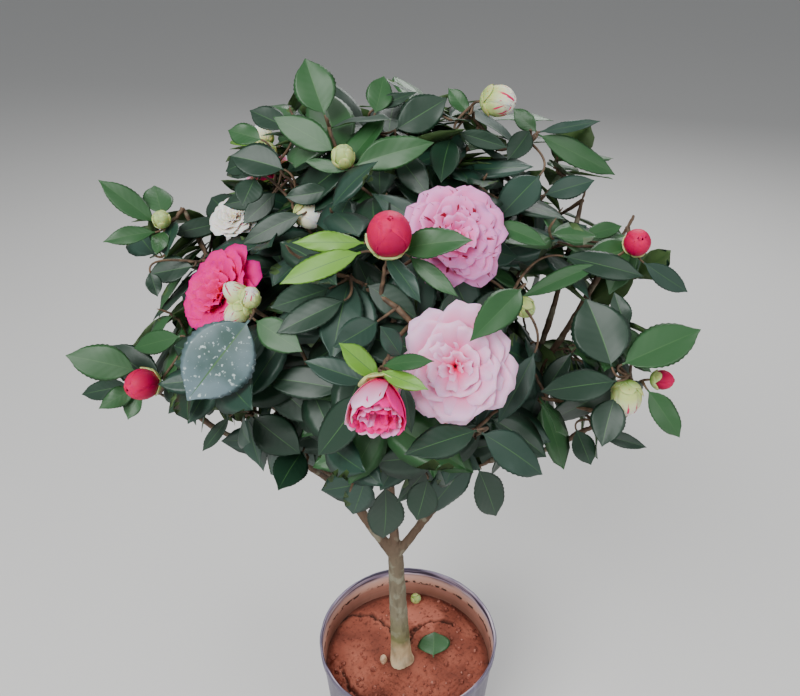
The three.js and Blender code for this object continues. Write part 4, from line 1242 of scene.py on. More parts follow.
# %% Shape of a leaf
# Of each kind: the columns of the upper and of the lower face as shares of the half width, the rows as
# shares of the length, the material slot of each strip between columns, and how deep the teeth are.
LEAF_KINDS = {
    "plain": {
        "across": [-1, -0.5, -0.022, 0.022, 0.5, 1],
        "under": [0.022, -0.022],
        "stations": [-0.02, 0.075, 0.14, 0.27, 0.42, 0.6, 0.78, 0.91, 1],
        "strips": [0, 0, 2, 0, 0, 1, 2, 1],
        "teeth": 0,
    },
    "toothed": {
        "across": [-1, -0.8, -0.4, -0.022, 0.022, 0.4, 0.8, 1],
        "under": [0.75, 0.3, 0.022, -0.022, -0.3, -0.75],
        "stations": [-0.02, 0.06, *np.linspace(0.1, 1, 28)],
        "strips": [0, 0, 0, 2, 0, 0, 0, 1, 1, 1, 2, 1, 1, 1],
        "teeth": 0.045,
    },
}


def leaf_rings(rows, kind):
    """Rings of leaves from their records. Across: x = c h(s), where the half width h rises from the stalk,
    is widest at four tenths and closes in a drawn-out tip. Up: the fold |x|, a wave of the edge and the
    curl down along the leaf. The points of the underside are lower by the thickness."""
    keys = ("root", "way", "normal", "length", "width")
    root, way, normal, length, width = (np.array([row[key] for row in rows])[:, None, None] for key in keys)
    seed = np.array([row["shoot"]["seed"] * 7 + row["place"] for row in rows])[:, None, None]
    c = np.concatenate([kind["across"], kind["under"]])[None, None, :]
    below = np.repeat([0.0, 1.0], [len(kind["across"]), len(kind["under"])])
    s = np.asarray(kind["stations"])[None, :, None]
    blade = np.clip((s - 0.07) / 0.93, 0, 1)
    outline = np.sin(np.pi * blade**0.85) ** 0.8 * (1 - 0.42 * smooth(0.78, 1, blade) * (blade < 1))
    half = np.maximum(width / 2 * outline, np.where(s < 0.5, 0.9, 0.12))
    odd = (np.arange(s.size) % 2)[None, :, None]
    half = half * (1 - kind["teeth"] * odd * (np.abs(c) > 0.99) * (blade > 0.08) * (blade < 0.99))
    x = c * half
    fold = 0.06 + 0.26 * noise(seed * 1.31)
    wave = (0.5 + 1.7 * noise(seed * 2.17)) * c**2 * np.sin(2 * np.pi * (1.4 * s + c * 0.25 + noise(seed)))
    curl = LEAF_CURL * (0.6 + 0.8 * noise(seed * 3.3)) * length * s**2
    z = fold * np.abs(x) - 0.006 * x**2 + wave * np.sin(np.pi * blade) - curl
    z = z - below * np.where(s < 0.06, 1.7, 0.35 + 0.5 * (np.abs(c) < 0.2) * (1 - s))
    x = x + (noise(seed * 4.9) - 0.5) * 0.16 * length * s**2
    lean = (noise(seed * 5.3)[..., None] - 0.5) * 0.5
    side = np.cross(way, normal) * np.cos(lean) + normal * np.sin(lean)
    up = np.cross(side, way)
    rings = root + side * x[..., None] + way * (s * length)[..., None] + up * z[..., None]
    u = 0.5 + 0.5 * np.broadcast_to(c[0], x.shape[1:])
    uv = np.stack([u * 0.98 + 0.01, np.broadcast_to(s, x.shape)[0] * 0.98 + 0.01], -1)
    return rings, uv


print({name: (len(kind["stations"]) - 1) * len(kind["strips"]) for name, kind in LEAF_KINDS.items()}, "faces")

# %% [markdown]
# All leaves of one tint become one mesh, because thousands of objects would be slow to draw and to keep. Low
# sprays are dark, which is partly painted shade, and young ones stand high. The blue-grey leaf's pattern lies
# on Object coordinates, so it has no UV map.

# %% Leaves
def tint_of(leaf):
    """The number of the leaf's own tint, or of its spray's: how many limits its draw is above."""
    if "tint" in leaf:
        return leaf["tint"]
    height = leaf["root"][2]
    # Under 700 mm only the two darkest tints are dealt out, which is partly painted shade low in the crown.
    limits = [0.45, 0.78 if height > 700 else 1.1, 0.97 if height > 800 else 1.1]
    return int(np.searchsorted(limits, float(noise(leaf["shoot"]["seed"] * 6.3 + 2))))


for index, tint in enumerate(TINTS):
    parts = []
    for kind, front in (("plain", False), ("toothed", True)):
        rows = [leaf for leaf in leaves if tint_of(leaf) == index and leaf["shoot"]["front"] == front]
        if rows:
            rings, uv = leaf_rings(rows, LEAF_KINDS[kind])
            parts.append(shells(rings, None if tint == "dusty" else uv, LEAF_KINDS[kind]["strips"]))
    add_piece(make_object(f"leaves_{tint}", join(parts), [leaf_tops[index], leaf_under, midrib]), "foliage")

# %% [markdown]
# Petals and sepals are thin cups. The midline of a petal is an arc that turns from one angle off the
# flower's axis to another, so the same rule gives a flat outer petal, an upright inner one, and one that
# closes over the tip of a bud. Its rim is round, with a small notch, and ruffled. Cloth simulation could
# ruffle it too, but would take minutes for hundreds of petals and come out different each time.

# %% Shape of a petal
PETAL_THICK = 0.5
# Of each kind: the columns of a petal's inner face and of its outer face, from rim to rim, and the rows.
# There are hundreds of petals, so only the near open ones are fine, and a bud's inner faces are never seen.
PETAL_KINDS = {
    "near": (np.linspace(-1, 1, 9), np.linspace(1, -1, 9), 8),
    "far": (np.linspace(-1, 1, 6), np.linspace(1, -1, 6), 6),
    "bud": (np.array([-1.0, 1.0]), np.linspace(1, -1, 7), 9),
}


def petal_rings(rows, kind):
    """Rings of petals. The distance out from the axis and up along it are the integrals of sine and cosine
    of the angle, by Simpson's rule. A wrap of 1 bends the petal round the axis as a bud's are."""
    get = {key: np.array([row[key] for row in rows])[:, None, None] for key in rows[0] if key != "look"}
    inner, outer, stations = PETAL_KINDS[kind]
    c = np.concatenate([inner, outer])[None, None, :]
    s = np.linspace(0, 1, stations)[None, :, None] ** 0.9
    end = 1 - get["round"] * (1 - np.sqrt(1 - 0.97 * c**2)) - get["notch"] * bell(c / 0.25)
    end = end + get["frill"] * np.cos(4 * np.pi * c)
    way = s * end
    first, last = np.radians(get["first"]), np.radians(get["last"])
    angle = first + (last - first) * way
    half = (first + angle) / 2
    out = get["root"] + get["length"] * way * (np.sin(first) + 4 * np.sin(half) + np.sin(angle)) / 6
    cosines = np.cos(first) + 4 * np.cos(half) + np.cos(angle)
    rise = get["lift"] + get["tall"] * get["length"] * way * cosines / 6
    widening = np.sin(np.pi / 2 * np.clip(way / 0.62, 0, 1))
    wide = get["width"] / 2 * (get["foot"] + (1 - get["foot"]) * widening)
    x = c * wide * (1 - 0.1 * smooth(0.7, 1, way))
    bend = get["wrap"] / np.maximum(out, 1.0)
    x_turned = x * np.sinc(bend * x / np.pi)
    inward = x * np.sin(bend * x / 2) * np.sinc(bend * x / 2 / np.pi)
    ruffle = get["ruffle"] * get["length"] * s**2 * np.sin(get["phase"] + 2 * np.pi * c * get["waves"])
    cup = get["cup"] * x**2 / np.maximum(get["length"], 1) + ruffle
    x_axis, y_axis, z_axis, turn = (get[k] for k in ("x_axis", "y_axis", "toward", "turn"))
    radial = x_axis * np.cos(turn)[..., None] + y_axis * np.sin(turn)[..., None]
    side = x_axis * np.sin(turn)[..., None] - y_axis * np.cos(turn)[..., None]
    normal = -radial * np.cos(angle)[..., None] + z_axis * np.sin(angle)[..., None]
    middle = get["at"] + radial * (out - inward)[..., None] + z_axis * rise[..., None]
    middle = middle + side * x_turned[..., None] + normal * cup[..., None]
    off = PETAL_THICK / 2 * (1 - 0.6 * s) * np.repeat([1, -1], [len(inner), len(outer)])
    rings = middle + normal * off[..., None]
    u, v = np.broadcast_arrays(c * 0.5 + 0.5, s, x)[:2]
    cell = np.floor(noise(get["phase"] * 9.7) * 4)
    uv = np.stack([(u * 0.96 + 0.02 + cell % 2) / 2, (v * 0.96 + 0.02 + cell // 2) / 2], -1)
    return rings, uv


print({kind: rows for kind, (_, _, rows) in PETAL_KINDS.items()}, "rows of a petal")

# %% [markdown]
# A bloom is a list of petals. Each has a record: its turn round the axis, the angles off the axis at which it
# starts and ends, its length, width and look, and what sets it apart from a plain petal.

# %% Record of a petal
GOLDEN = math.radians(GOLDEN_DEG)
PLAIN_PETAL = {"round": 0.3, "notch": 0.0, "ruffle": 0.0, "waves": 1.0, "wrap": 0.0, "cup": 0.0}
PLAIN_PETAL |= {"foot": 0.3, "root": 1.0, "lift": 0.0, "tall": 1.0, "frill": 0.0}


def petal(shoot, turn, first, last, length, width, look, **more):
    """The record of one petal of a bloom. Its own numbers stand in for a plain petal's."""
    x_axis = square(NOON, shoot["toward"])
    row = {"at": shoot["at"], "toward": shoot["toward"], "x_axis": x_axis, "turn": turn, "look": look}
    row |= {"y_axis": np.cross(shoot["toward"], x_axis), "phase": turn * 3.1 + shoot["seed"]}
    return {**row, "first": first, "last": last, "length": length, "width": width, **PLAIN_PETAL, **more}


print(len(PLAIN_PETAL), "numbers of a plain petal")

# %% [markdown]
# The open flowers are full double ones: whorl after whorl of petals, flat outside, upright inside, with no
# stamens to see. In the palest ones the inner petals are arched over, so that dark folds open between them,
# and in the others they are cupped. Of each whorl the list holds its petals, their length and width as
# shares of the flower's radius, the angles off the axis at which a petal starts and ends, and its ruffles.

# %% Open flowers
WHORLS = [
    (8, 1.05, 0.84, 54, 106, 0.02),
    (8, 0.96, 0.8, 46, 94, 0.03),
    (7, 0.83, 0.74, 38, 82, 0.05),
    (6, 0.69, 0.63, 30, 70, 0.07),
    (5, 0.55, 0.52, 22, 60, 0.09),
    (5, 0.41, 0.38, 14, 50, 0.1),
    (3, 0.27, 0.24, 6, 36, 0.1),
]
CUPPED = {"blush": -0.75, "streaked": 0.3, "rose": -0.3, "white": 0.2}


def double_flower(shoot):
    """Whorls of petals, each petal a little off its rule in angle, turn and size, and a calyx behind."""
    rows = []
    radius = shoot["size"]
    for ring, (count, long, wide, first, last, ruffle) in enumerate(WHORLS):
        q = ring / (len(WHORLS) - 1)
        for k in range(count):
            draw = shoot["seed"] * 1.9 + ring * 7.7 + k * 2.3
            a, b, c = (float(noise(draw + shift)) - 0.5 for shift in (0, 0.37, 0.71))
            turn = (k + 0.5 * (ring % 2) + 0.6 * a) / count * 2 * math.pi + ring
            more = {"notch": 0.05 + 0.08 * abs(a), "ruffle": ruffle, "frill": 0.01, "lift": -2 + 3 * q}
            more |= {"cup": 0.06 + CUPPED[shoot["look"]] * q, "round": 0.46, "waves": 0.8 + 0.8 * abs(c)}
            size = (radius * long * (1 + 0.16 * b), radius * wide)
            rows.append(petal(shoot, turn, first, last + 34 * c, *size, shoot["look"], foot=0.4, **more))
    for k in range(6):
        size = (radius * 0.32, radius * 0.34)
        rows.append(petal(shoot, k * GOLDEN, 95, 70, *size, "sepal", lift=-3.5, cup=0.4))
    return rows


print("petals of a full flower:", sum(count for count, *_ in WHORLS))

# %% [markdown]
# A bud could be one egg with lines on it, but real ones are petals and sepals that overlap, and their edges
# catch the light. So it is made of the same petals, bent round the axis until they close over the tip. Some
# buds stand in a cluster on one tip. Of each of its buds the list holds the clock angle, the spread off the
# shoot, the look, how far the sepals cover it, its size and its tallness.

# %% Buds
BUD_PETALS = 8
CLUSTER_BUDS = [
    (318, 58, "cream", 0.62, 0.8, 1.35),
    (48, 42, "cream", 0.9, 0.72, 1.15),
    (228, 72, "cream", 0.6, 0.8, 1.3),
]


def bud(shoot, radius, look, sepals=7, cover=0.5, tall=1.08):
    """A bud: petals that close over its tip, and sepals that hug its lower part, largest last."""
    rows = []
    for k in range(BUD_PETALS):
        last = -90 + 3 * float(noise(k + shoot["seed"]))
        more = {"wrap": 1.0, "lift": -1.5, "foot": 0.75, "round": 0.22, "root": 0.9 - 0.13 * k}
        size = (3.15 * radius, 1.5 * radius)
        rows.append(petal(shoot, k * GOLDEN * 2, 84, last, *size, look, tall=tall, **more))
    for k in range(sepals):
        share = cover * (0.55 + 0.45 * k / max(sepals - 1, 1))
        more = {"wrap": 1.0, "lift": -2.2, "foot": 0.7, "round": 0.4, "root": 1.6 - 0.12 * k}
        size = (3.2 * radius * share, 1.4 * radius)
        rows.append(petal(shoot, k * GOLDEN, 86, 86 - 168 * share, *size, "sepal", tall=tall, **more))
    return rows


def cluster(shoot):
    """Buds that leave one tip, each with its own way, size and share of sepal."""
    rows = []
    for clock, spread, look, cover, size, tall in CLUSTER_BUDS:
        own = {**shoot, "toward": around(shoot["toward"], spread, clock), "seed": shoot["seed"] + clock}
        rows += bud(own, shoot["size"] * size, look, 8, cover, tall)
    return rows


print(len(CLUSTER_BUDS), "buds in a cluster")

# %% [markdown]
# One flower is half open: its outer petals still hold it like a cup, and the inner ones crowd in its mouth,
# red with paler ones between. After it, every shoot that ends in a bloom gets its petals by kind.

# %% The opening flower, and all blooms
OPENING_PETALS = 27
PALE_OUTER = (0, 2, 3, 5)
FAR_LOOKS = ["rose", "blush", "streaked", "white"]


def opening_flower(shoot):
    """Sepals at the foot, a cup of outer petals, and ruffled inner ones: q runs from out to in."""
    rows = []
    radius = shoot["size"]
    for k in range(OPENING_PETALS):
        q = k / (OPENING_PETALS - 1)
        a, b = (float(noise(shoot["seed"] + k * 1.7 + shift)) - 0.5 for shift in (0, 0.41))
        size = (radius * (2.15 - 0.45 * q + 0.1 * b), radius * (1.25 - 0.6 * q))
        more = {"wrap": 0.9 - 0.6 * q, "notch": 0.08, "ruffle": 0.012 + 0.04 * q, "waves": 1 + a}
        look = "blush" if k in PALE_OUTER else ("rose" if k % 3 else "streaked")
        last = -2 + 16 * a + 14 * q
        rows.append(petal(shoot, k * GOLDEN, 56 - 44 * q, last, *size, look, foot=0.55, **more))
    for k in range(7):
        more = {"wrap": 1.0, "lift": -2, "foot": 0.7, "round": 0.35, "root": 1.5}
        size = (radius * (0.6 + 0.05 * k), radius * 0.9)
        rows.append(petal(shoot, k * GOLDEN, 84, 24, *size, "sepal", **more))
    return rows


def bloom_rows(shoot):
    """The petals of a shoot's bloom, by its kind. A green bud is all sepals."""
    if shoot["bloom"] != "bud":
        return {"double": double_flower, "opening": opening_flower, "cluster": cluster}[shoot["bloom"]](shoot)
    if shoot["look"] == "green":
        return bud(shoot, shoot["size"], "sepal", 8, 0.9)
    return bud(shoot, shoot["size"], shoot["look"])


petal_rows = []
for rank, shoot in enumerate(shoots):
    if shoot["bloom"] != "none":
        shoot.setdefault("look", FAR_LOOKS[rank % 4])
        petal_rows += bloom_rows(shoot)
print(len(petal_rows), "petals and sepals")

# %% [markdown]
# Petals are soft and let a little light through, so their shader has some subsurface. Each is deeper in
# colour at its foot than at its rim, and streaks run along it, which is this kind's mark: both lie on the
# petal's own UV map. The map has four cells, one for each quarter of the petals, so that their streaks
# differ. Of each look the list holds the colour of a petal's foot and of its rim, where along it the one has
# turned to the other, the colour of its streaks, and how rare they are.

# %% Petal materials
PETAL_COLOURS = {
    "blush": ("#FF2478", "#FFC0E2", (0.3, 0.92), "#D8104C", 0.86),
    "streaked": ("#F01074", "#FF9CD8", (0.3, 0.95), "#90002C", 0.76),
    "crimson": ("#98003C", "#EE0056", (0.4, 0.92), "#FF5C94", 0.86),
    "white": ("#EBDB98", "#FFF2EA", (0.3, 0.85), "#FF8CAC", 0.8),
    "sepal": ("#7F9E3E", "#C4D088", (0.3, 0.9), "#8A7A3A", 0.8),
    "rose": ("#C40034", "#FF008C", (0.2, 0.95), "#FF74B4", 0.84),
    "cream": ("#C2CC80", "#FFEDE2", (0.5, 0.95), "#D8205C", 0.72),
}
SOFT = {"roughness": 0.55, "subsurface_weight": 0.3, "subsurface_scale": 0.004}
STREAKS = (15, 5, 1)

petal_materials = {}
for look, (foot, rim, (start, stop), streak, rare) in PETAL_COLOURS.items():
    name = "waxy green sepal" if look == "sepal" else f"soft camellia petal, {look}"
    petal_materials[look], add, shader = new_material(name, rim, **SOFT)
    uv = add("UVMap", uv_map="OFBake")
    double = add("Math", {0: add("SeparateXYZ", {"Vector": uv}, out="Y"), 1: 2.0}, operation="MULTIPLY")
    along = add("Math", {0: double}, operation="FRACT")
    base = add("ValToRGB", {"Fac": along}, [(start, foot), (stop, rim)])
    drawn = add("Mapping", {"Vector": uv, "Scale": STREAKS})
    flecks = add("TexNoise", {"Vector": drawn, "Scale": 1.0, "Detail": 2})
    outer = add("ValToRGB", {"Fac": along}, [(0.45, "#000000"), (0.7, "#FFFFFF")])
    rimmed = add("Math", {0: outer, 1: 0.12, 2: flecks}, operation="MULTIPLY_ADD")
    mask = add("ValToRGB", {"Fac": rimmed}, [(rare - 0.02, "#000000"), (rare + 0.02, "#FFFFFF")])
    colour = add("Mix", {0: mask, 6: base, 7: streak}, data_type="RGBA")
    normal = add("Bump", {"Height": flecks, "Distance": 0.15 * MM})
    set_inputs(shader, {"Base Color": colour, "Specular IOR Level": 0.2, "Normal": normal})
print(len(petal_materials), "looks of petals")

# %% [markdown]
# The flowers nearest to the viewer have finer petals than those on the far side, and the petals of buds have
# a kind of their own, because their inner faces never show. Each side's flowers are one mesh.

# %% Flowers
for name, front in (("flowers_front", True), ("flowers_far", False)):
    parts = []
    side_rows = [row for row in petal_rows if (row["at"][1] < FAR_SIDE_Y) == front]
    for slot, look in enumerate(PETAL_COLOURS):
        for kind in ("bud", "near" if front else "far"):
            rows = [row for row in side_rows if row["look"] == look and (row["wrap"] == 1) == (kind == "bud")]
            if rows:
                part = shells(*petal_rings(rows, kind))
                part["slots"] += slot
                parts.append(part)
    add_piece(make_object(name, join(parts), petal_materials.values()), "foliage")

# %% [markdown]
# The pot is a thin nursery pot, blown or pressed from dark polyethylene, scuffed along its wall, and its pale
# streaks there are partly scuff marks and partly painted reflections of its folds. Inside, a film of dust and
# clay clings to it, with a dark broken line of crumbs where the soil once stood higher, and above it the
# moulded lines of the rim show as pale and dark stripes of painted highlight and shade. All this depends on
# the height, so each pattern is a ramp over the height in metres, shaken by a noise.

# %% Plastic
FILM_LEVELS = [(0.1, "#8A5A48"), (0.4, "#A87462"), (0.5, "#CC9C88"), (0.72, "#C8A296"), (0.82, "#8A7E8C")]
# Pale and dark stripes on the moulded lines under the rim: painted highlight and shade.
RIM_LINE_LIGHT_AND_SHADE = [(0.38, "#3E3748"), (0.5, "#9A8CA4"), (0.62, "#D8CCD8")]
RIM_LEVELS = [(0.66, "#303030"), (0.8, "#FFFFFF")]
LINE_LEVELS = [(0.39, "#000000"), (0.43, "#FFFFFF"), (0.47, "#FFFFFF"), (0.52, "#000000")]
LINE_GAPS = [(0.46, "#000000"), (0.52, "#FFFFFF")]

plastic, add, shader = new_material("dark polyethylene", "#68616E", roughness=0.42)
at = add("TexCoord", out="Object")
# Pale vertical streaks on the outer wall: partly scuff marks, partly painted reflections of its folds.
scuffs_and_sheen = add("TexNoise", blobs(add("Mapping", {"Vector": at, "Scale": (1, 1, 0.12)}), 9, 4))
scuffs_and_sheen = add("ValToRGB", {"Fac": scuffs_and_sheen}, [(0.3, "#5A5266"), (0.6, "#6A6278"), (0.78, "#827A92")])
normal = add("Bump", {"Height": add("TexNoise", blobs(at, 1.2)), "Distance": 0.12 * MM})
set_inputs(shader, {"Base Color": scuffs_and_sheen, "Normal": normal})

filmed, add, shader = new_material("polyethylene under a film of clay dust", "#B08878", roughness=0.8)
at = add("TexCoord", out="Object")
height = {0: add("TexNoise", blobs(at, 12, 4)), 1: 0.008, 2: add("SeparateXYZ", {"Vector": at}, out="Z")}
height = add("Math", height, operation="MULTIPLY_ADD")
level = add("MapRange", {"Value": height, "From Min": 0.176, "From Max": 0.226})
# Noise for the painted highlight and shade on the rim's moulded lines, which take over from the film near the
# top.
rim_light_noise = add("TexNoise", blobs(add("Mapping", {"Vector": at, "Scale": (0.05, 0.05, 1)}), 2.2, 2))
films = {0: add("ValToRGB", {"Fac": level}, RIM_LEVELS), 6: add("ValToRGB", {"Fac": level}, FILM_LEVELS)}
film = add("Mix", {**films, 7: add("ValToRGB", {"Fac": rim_light_noise}, RIM_LINE_LIGHT_AND_SHADE)}, data_type="RGBA")
line = {0: add("ValToRGB", {"Fac": level}, LINE_LEVELS)}
line[1] = add("ValToRGB", {"Fac": add("TexNoise", blobs(at, 5, 4))}, LINE_GAPS)
crumbs = add("Math", line, operation="MULTIPLY")
normal = add("Bump", {"Height": add("TexNoise", blobs(at, 1.5)), "Distance": 0.4 * MM})
colour = add("Mix", {0: crumbs, 6: film, 7: "#33201A"}, data_type="RGBA")
set_inputs(shader, {"Base Color": colour, "Normal": normal})
print("film colours from the soil up:", [colour for _, colour in FILM_LEVELS])

# %% [markdown]
# The wall is a profile turned round: foot, outside, the band under the rim, fine moulded lines, inside. A
# real pot is never quite round, so each ring is moved by soft noise that grows towards the free rim, and the
# side is creased.

# %% Pot
POT_COLUMNS = 256
# The fine lines moulded under the rim, inside: how many, how deep, where the first is and how far apart.
RIM_RIBS = {"count": 12, "deep": 0.25, "first": 1.2, "apart": 1.1}
RIBS_FOOT = 204
# Of each wave that pushes the rim out of round: how far it goes, its waves in a turn, and its shift.
SWAY = [(1.1, 2, 0.6), (0.7, 3, 2)]
SWAY_FROM = (150, 215)
CREASE = {"far": 0.7, "from": (20, 60), "size": 1, "seed": 4, "outside": 90}
NOTCH = {"far": 0.9, "from": (200, 220), "size": 3, "seed": 8}


def pot_wall(z):
    """Outer radius of the wall: it widens evenly from the foot to just under the rim."""
    return POT["foot"] + (POT["rim"] - POT["step"] - POT["foot"]) * z / POT["height"]


def pot_part():
    """The profile turned round: places (r cos, r sin, z), with r and z moved by sines and noise."""
    band = POT["height"] - POT["band"]
    outside = [[pot_wall(z), z] for z in np.linspace(POT["bevel"], band, 26)]
    rim = [[POT["rim"] - 0.5, band + 1.5], [POT["rim"] - 0.25, band + 6], [POT["rim"], POT["height"] - 1]]
    top = [[POT["rim"] - 0.7, POT["height"]], [POT["rim"] - 1.9, POT["height"]]]
    inner = POT["rim"] - POT["step"] - POT["wall"]
    count, deep, first, apart = RIM_RIBS.values()
    lines = [[inner + deep * (k % 2), POT["height"] - first - apart * k] for k in range(count)]
    inside = [[pot_wall(z) - POT["wall"], z] for z in np.linspace(RIBS_FOOT, POT["floor"], 24)]
    foot = [[0.3, 0], [POT["foot"] - POT["bevel"], 0]]
    profile = np.array([*foot, *outside, *rim, *top, *lines, *inside, [0.3, POT["floor"]]])
    turn = np.arange(POT_COLUMNS) / POT_COLUMNS * 2 * np.pi
    r, z = profile[:, :1], profile[:, 1:]
    sway = sum(far * np.sin(waves * turn + shift) for far, waves, shift in SWAY)
    on_wall = turned(10, z / 60, POT_COLUMNS).reshape(-1, 3)
    noises = [grain(on_wall / row["size"], row["seed"]).reshape(len(profile), -1) for row in (CREASE, NOTCH)]
    crease = smooth(*CREASE["from"], z) * CREASE["far"] * noises[0] * (r > CREASE["outside"])
    notch = NOTCH["far"] * smooth(*NOTCH["from"], z) * np.sin(3 * turn + 1) * noises[1]
    r = r + smooth(*SWAY_FROM, z) * sway + crease
    z = z + notch
    part = shells(turned(r, z, POT_COLUMNS)[None])
    first_inside = len(profile) - 2 - len(inside) - len(lines)
    part["slots"][first_inside * POT_COLUMNS : (len(profile) - 1) * POT_COLUMNS] = 1
    return part


add_piece(make_object("nursery_pot", pot_part(), [plastic, filmed]), "pot", "pot")

# %% [markdown]
# The soil is a red-brown clay. Its colour goes by broad patches, with painted shade in the hollows between
# crumbs, and a paler smear behind the trunk. Cracks are dark because little light reaches into them, which a
# shader can't know, so the mesh carries a shade of its own as an attribute, and the shader mixes the colour
# by it.

# %% Clay
# The smear that water left: its middle and its radius, and where its edge lies, in metres.
PATCH = {"at": (26, 70, 175), "radius": 30, "edge": (0.046, 0.038)}

clay, add, shader = new_material("dried red clay soil", "#9A4E36", roughness=0.95)
at = add("TexCoord", out="Object")
crumbs = add("TexNoise", blobs(at, 2.5, 5))
tones = [(0.35, "#74392A"), (0.5, "#8E4A38"), (0.68, "#A45E4A")]
tone = add("ValToRGB", {"Fac": add("TexNoise", blobs(at, 24))}, tones)
far = add("VectorMath", {0: at, 1: [v * MM for v in PATCH["at"]]}, operation="DISTANCE")
edge = add("Math", {0: add("TexNoise", blobs(at, 9)), 1: 0.03, 2: far}, operation="MULTIPLY_ADD")
inside = add("MapRange", {"Value": edge, "From Min": PATCH["edge"][0], "From Max": PATCH["edge"][1]})
# Painted shade: the low places of the crumb noise, the hollows between crumbs, are darkened.
pit_shade = add("ValToRGB", {"Fac": crumbs}, [(0.3, "#6A3A2A"), (0.45, "#FFFFFF")])
shades = {0: 0.55, 6: add("Mix", {0: inside, 6: tone, 7: "#BC6E5A"}, data_type="RGBA"), 7: pit_shade}
shaded = add("Mix", shades, data_type="RGBA", blend_type="MULTIPLY")
shade = add("Attribute", out="Fac", attribute_name="shade")
colour = add("Mix", {0: shade, 6: shaded, 7: "#2E1812"}, data_type="RGBA")
set_inputs(shader, {"Base Color": colour, "Normal": add("Bump", {"Height": crumbs, "Distance": 1.2 * MM})})
print("clay tones:", [colour for _, colour in tones])

# %% [markdown]
# The clay was smeared smooth where water stood, is crumbly at the front, and has dried and cracked in arcs
# round the trunk. Displacement by a picture would not follow the arcs. So the height is the CAD model's own
# rule, with the cracks cut in along bent lines and the crumbs added as noise.

# %% Soil
CRACKS = [
    [(-104, 60), (-88, 71), (-70, 70), (-51, 67), (-38, 56), (-26, 46), (-20, 30)],
    [(4, 22), (7, 42), (25, 54), (42, 60), (58, 58), (70, 51)],
    [(-92, -30), (-80, -58), (-60, -74)],
]
# A crack's depth and half width, its lip's height, place and half width, and the shake of its line.
CRACK = {"deep": 4.5, "half": 2.2, "lip": 1.4, "lip_at": 5, "lip_half": 3, "shake": [(3.5, 6), (1.2, 2.5)]}
# Of each size of crumb in the soil: its height and its width, and the seed of its noise.
CRUMBS = [(0.9, 2.6, 6), (1.6, 6, 7), (0.6, 1.5, 8)]
# How rough the soil is at the back, how much more in front, from which y to which, and the smear's calm.
ROUGHNESS = {"back": 0.5, "front": 0.8, "from": 10, "to": -50, "calm": 0.85}
# How dark the shade is in a crack, by the trunk and by the wall, and how far it reaches.
SHADE = {"crack": 0.8, "crack_half": 2.6, "trunk": 0.4, "trunk_room": 19, "trunk_fade": 5}
SHADE |= {"wall": 0.5, "wall_from": 0.93, "most": 0.9}
SOIL_COLUMNS = 320
SOIL_RINGS = 110


def from_trunk(x, y):
    """Distance from the middle of the trunk's foot."""
    return np.hypot(x - TRUNK_FOOT[0], y - TRUNK_FOOT[1])


def to_line(x, y, line):
    """Distance of each point to a bent line: the least of those to its stretches' nearest points."""
    least = np.full(x.shape, np.inf)
    for (ax, ay), (bx, by) in zip(line, line[1:]):
        share = ((x - ax) * (bx - ax) + (y - ay) * (by - ay)) / ((bx - ax) ** 2 + (by - ay) ** 2)
        share = np.clip(share, 0, 1)
        least = np.minimum(least, np.hypot(x - ax - share * (bx - ax), y - ay - share * (by - ay)))
    return least


def flat_grain(x, y, wide, seed):
    """Soft noise of this width on the plane, in the shape of x and y."""
    flat = np.stack([x, y, np.zeros_like(x)], -1).reshape(-1, 3)
    return grain(flat / wide, seed).reshape(x.shape)


def crack_lines(x, y):
    """Distances to each crack, on places shaken by noise so that the cracks are ragged."""
    shaken = [x, y]
    for axis, seed in enumerate((21, 22)):
        shaken[axis] = shaken[axis] + sum(far * flat_grain(x, y, wide, seed) for far, wide in CRACK["shake"])
    return [to_line(*shaken, line) for line in CRACKS]


def soil_height(x, y):
    """Flat under the trunk, then ripples and the mound, with cracks cut in and crumbs thrown up."""
    open_share = smooth(SOIL["pad"], SOIL["pad"] + SOIL["blend"], from_trunk(x, y))
    mx, my = MOUND["at"]
    mound = MOUND["height"] * np.exp(-((x - mx) ** 2 + (y - my) ** 2) / MOUND["width"] ** 2)
    ripple = np.sin(x / RIPPLE["length_x"] + RIPPLE["shift"]) * np.cos(y / RIPPLE["length_y"])
    lines = crack_lines(x, y)
    crack = sum(CRACK["deep"] * bell(line / CRACK["half"]) for line in lines)
    lip = sum(CRACK["lip"] * bell((line - CRACK["lip_at"]) / CRACK["lip_half"]) for line in lines)
    crumb = sum(high * flat_grain(x, y, wide, seed) for high, wide, seed in CRUMBS)
    smear = bell(np.hypot(x - PATCH["at"][0], y - PATCH["at"][1]) / PATCH["radius"])
    front = smooth(ROUGHNESS["from"] / 100, ROUGHNESS["to"] / 100, y / 100)
    rough = (ROUGHNESS["back"] + ROUGHNESS["front"] * front) * (1 - ROUGHNESS["calm"] * smear)
    return SOIL["top"] + open_share * (mound + RIPPLE["height"] * ripple - crack + lip + rough * crumb)


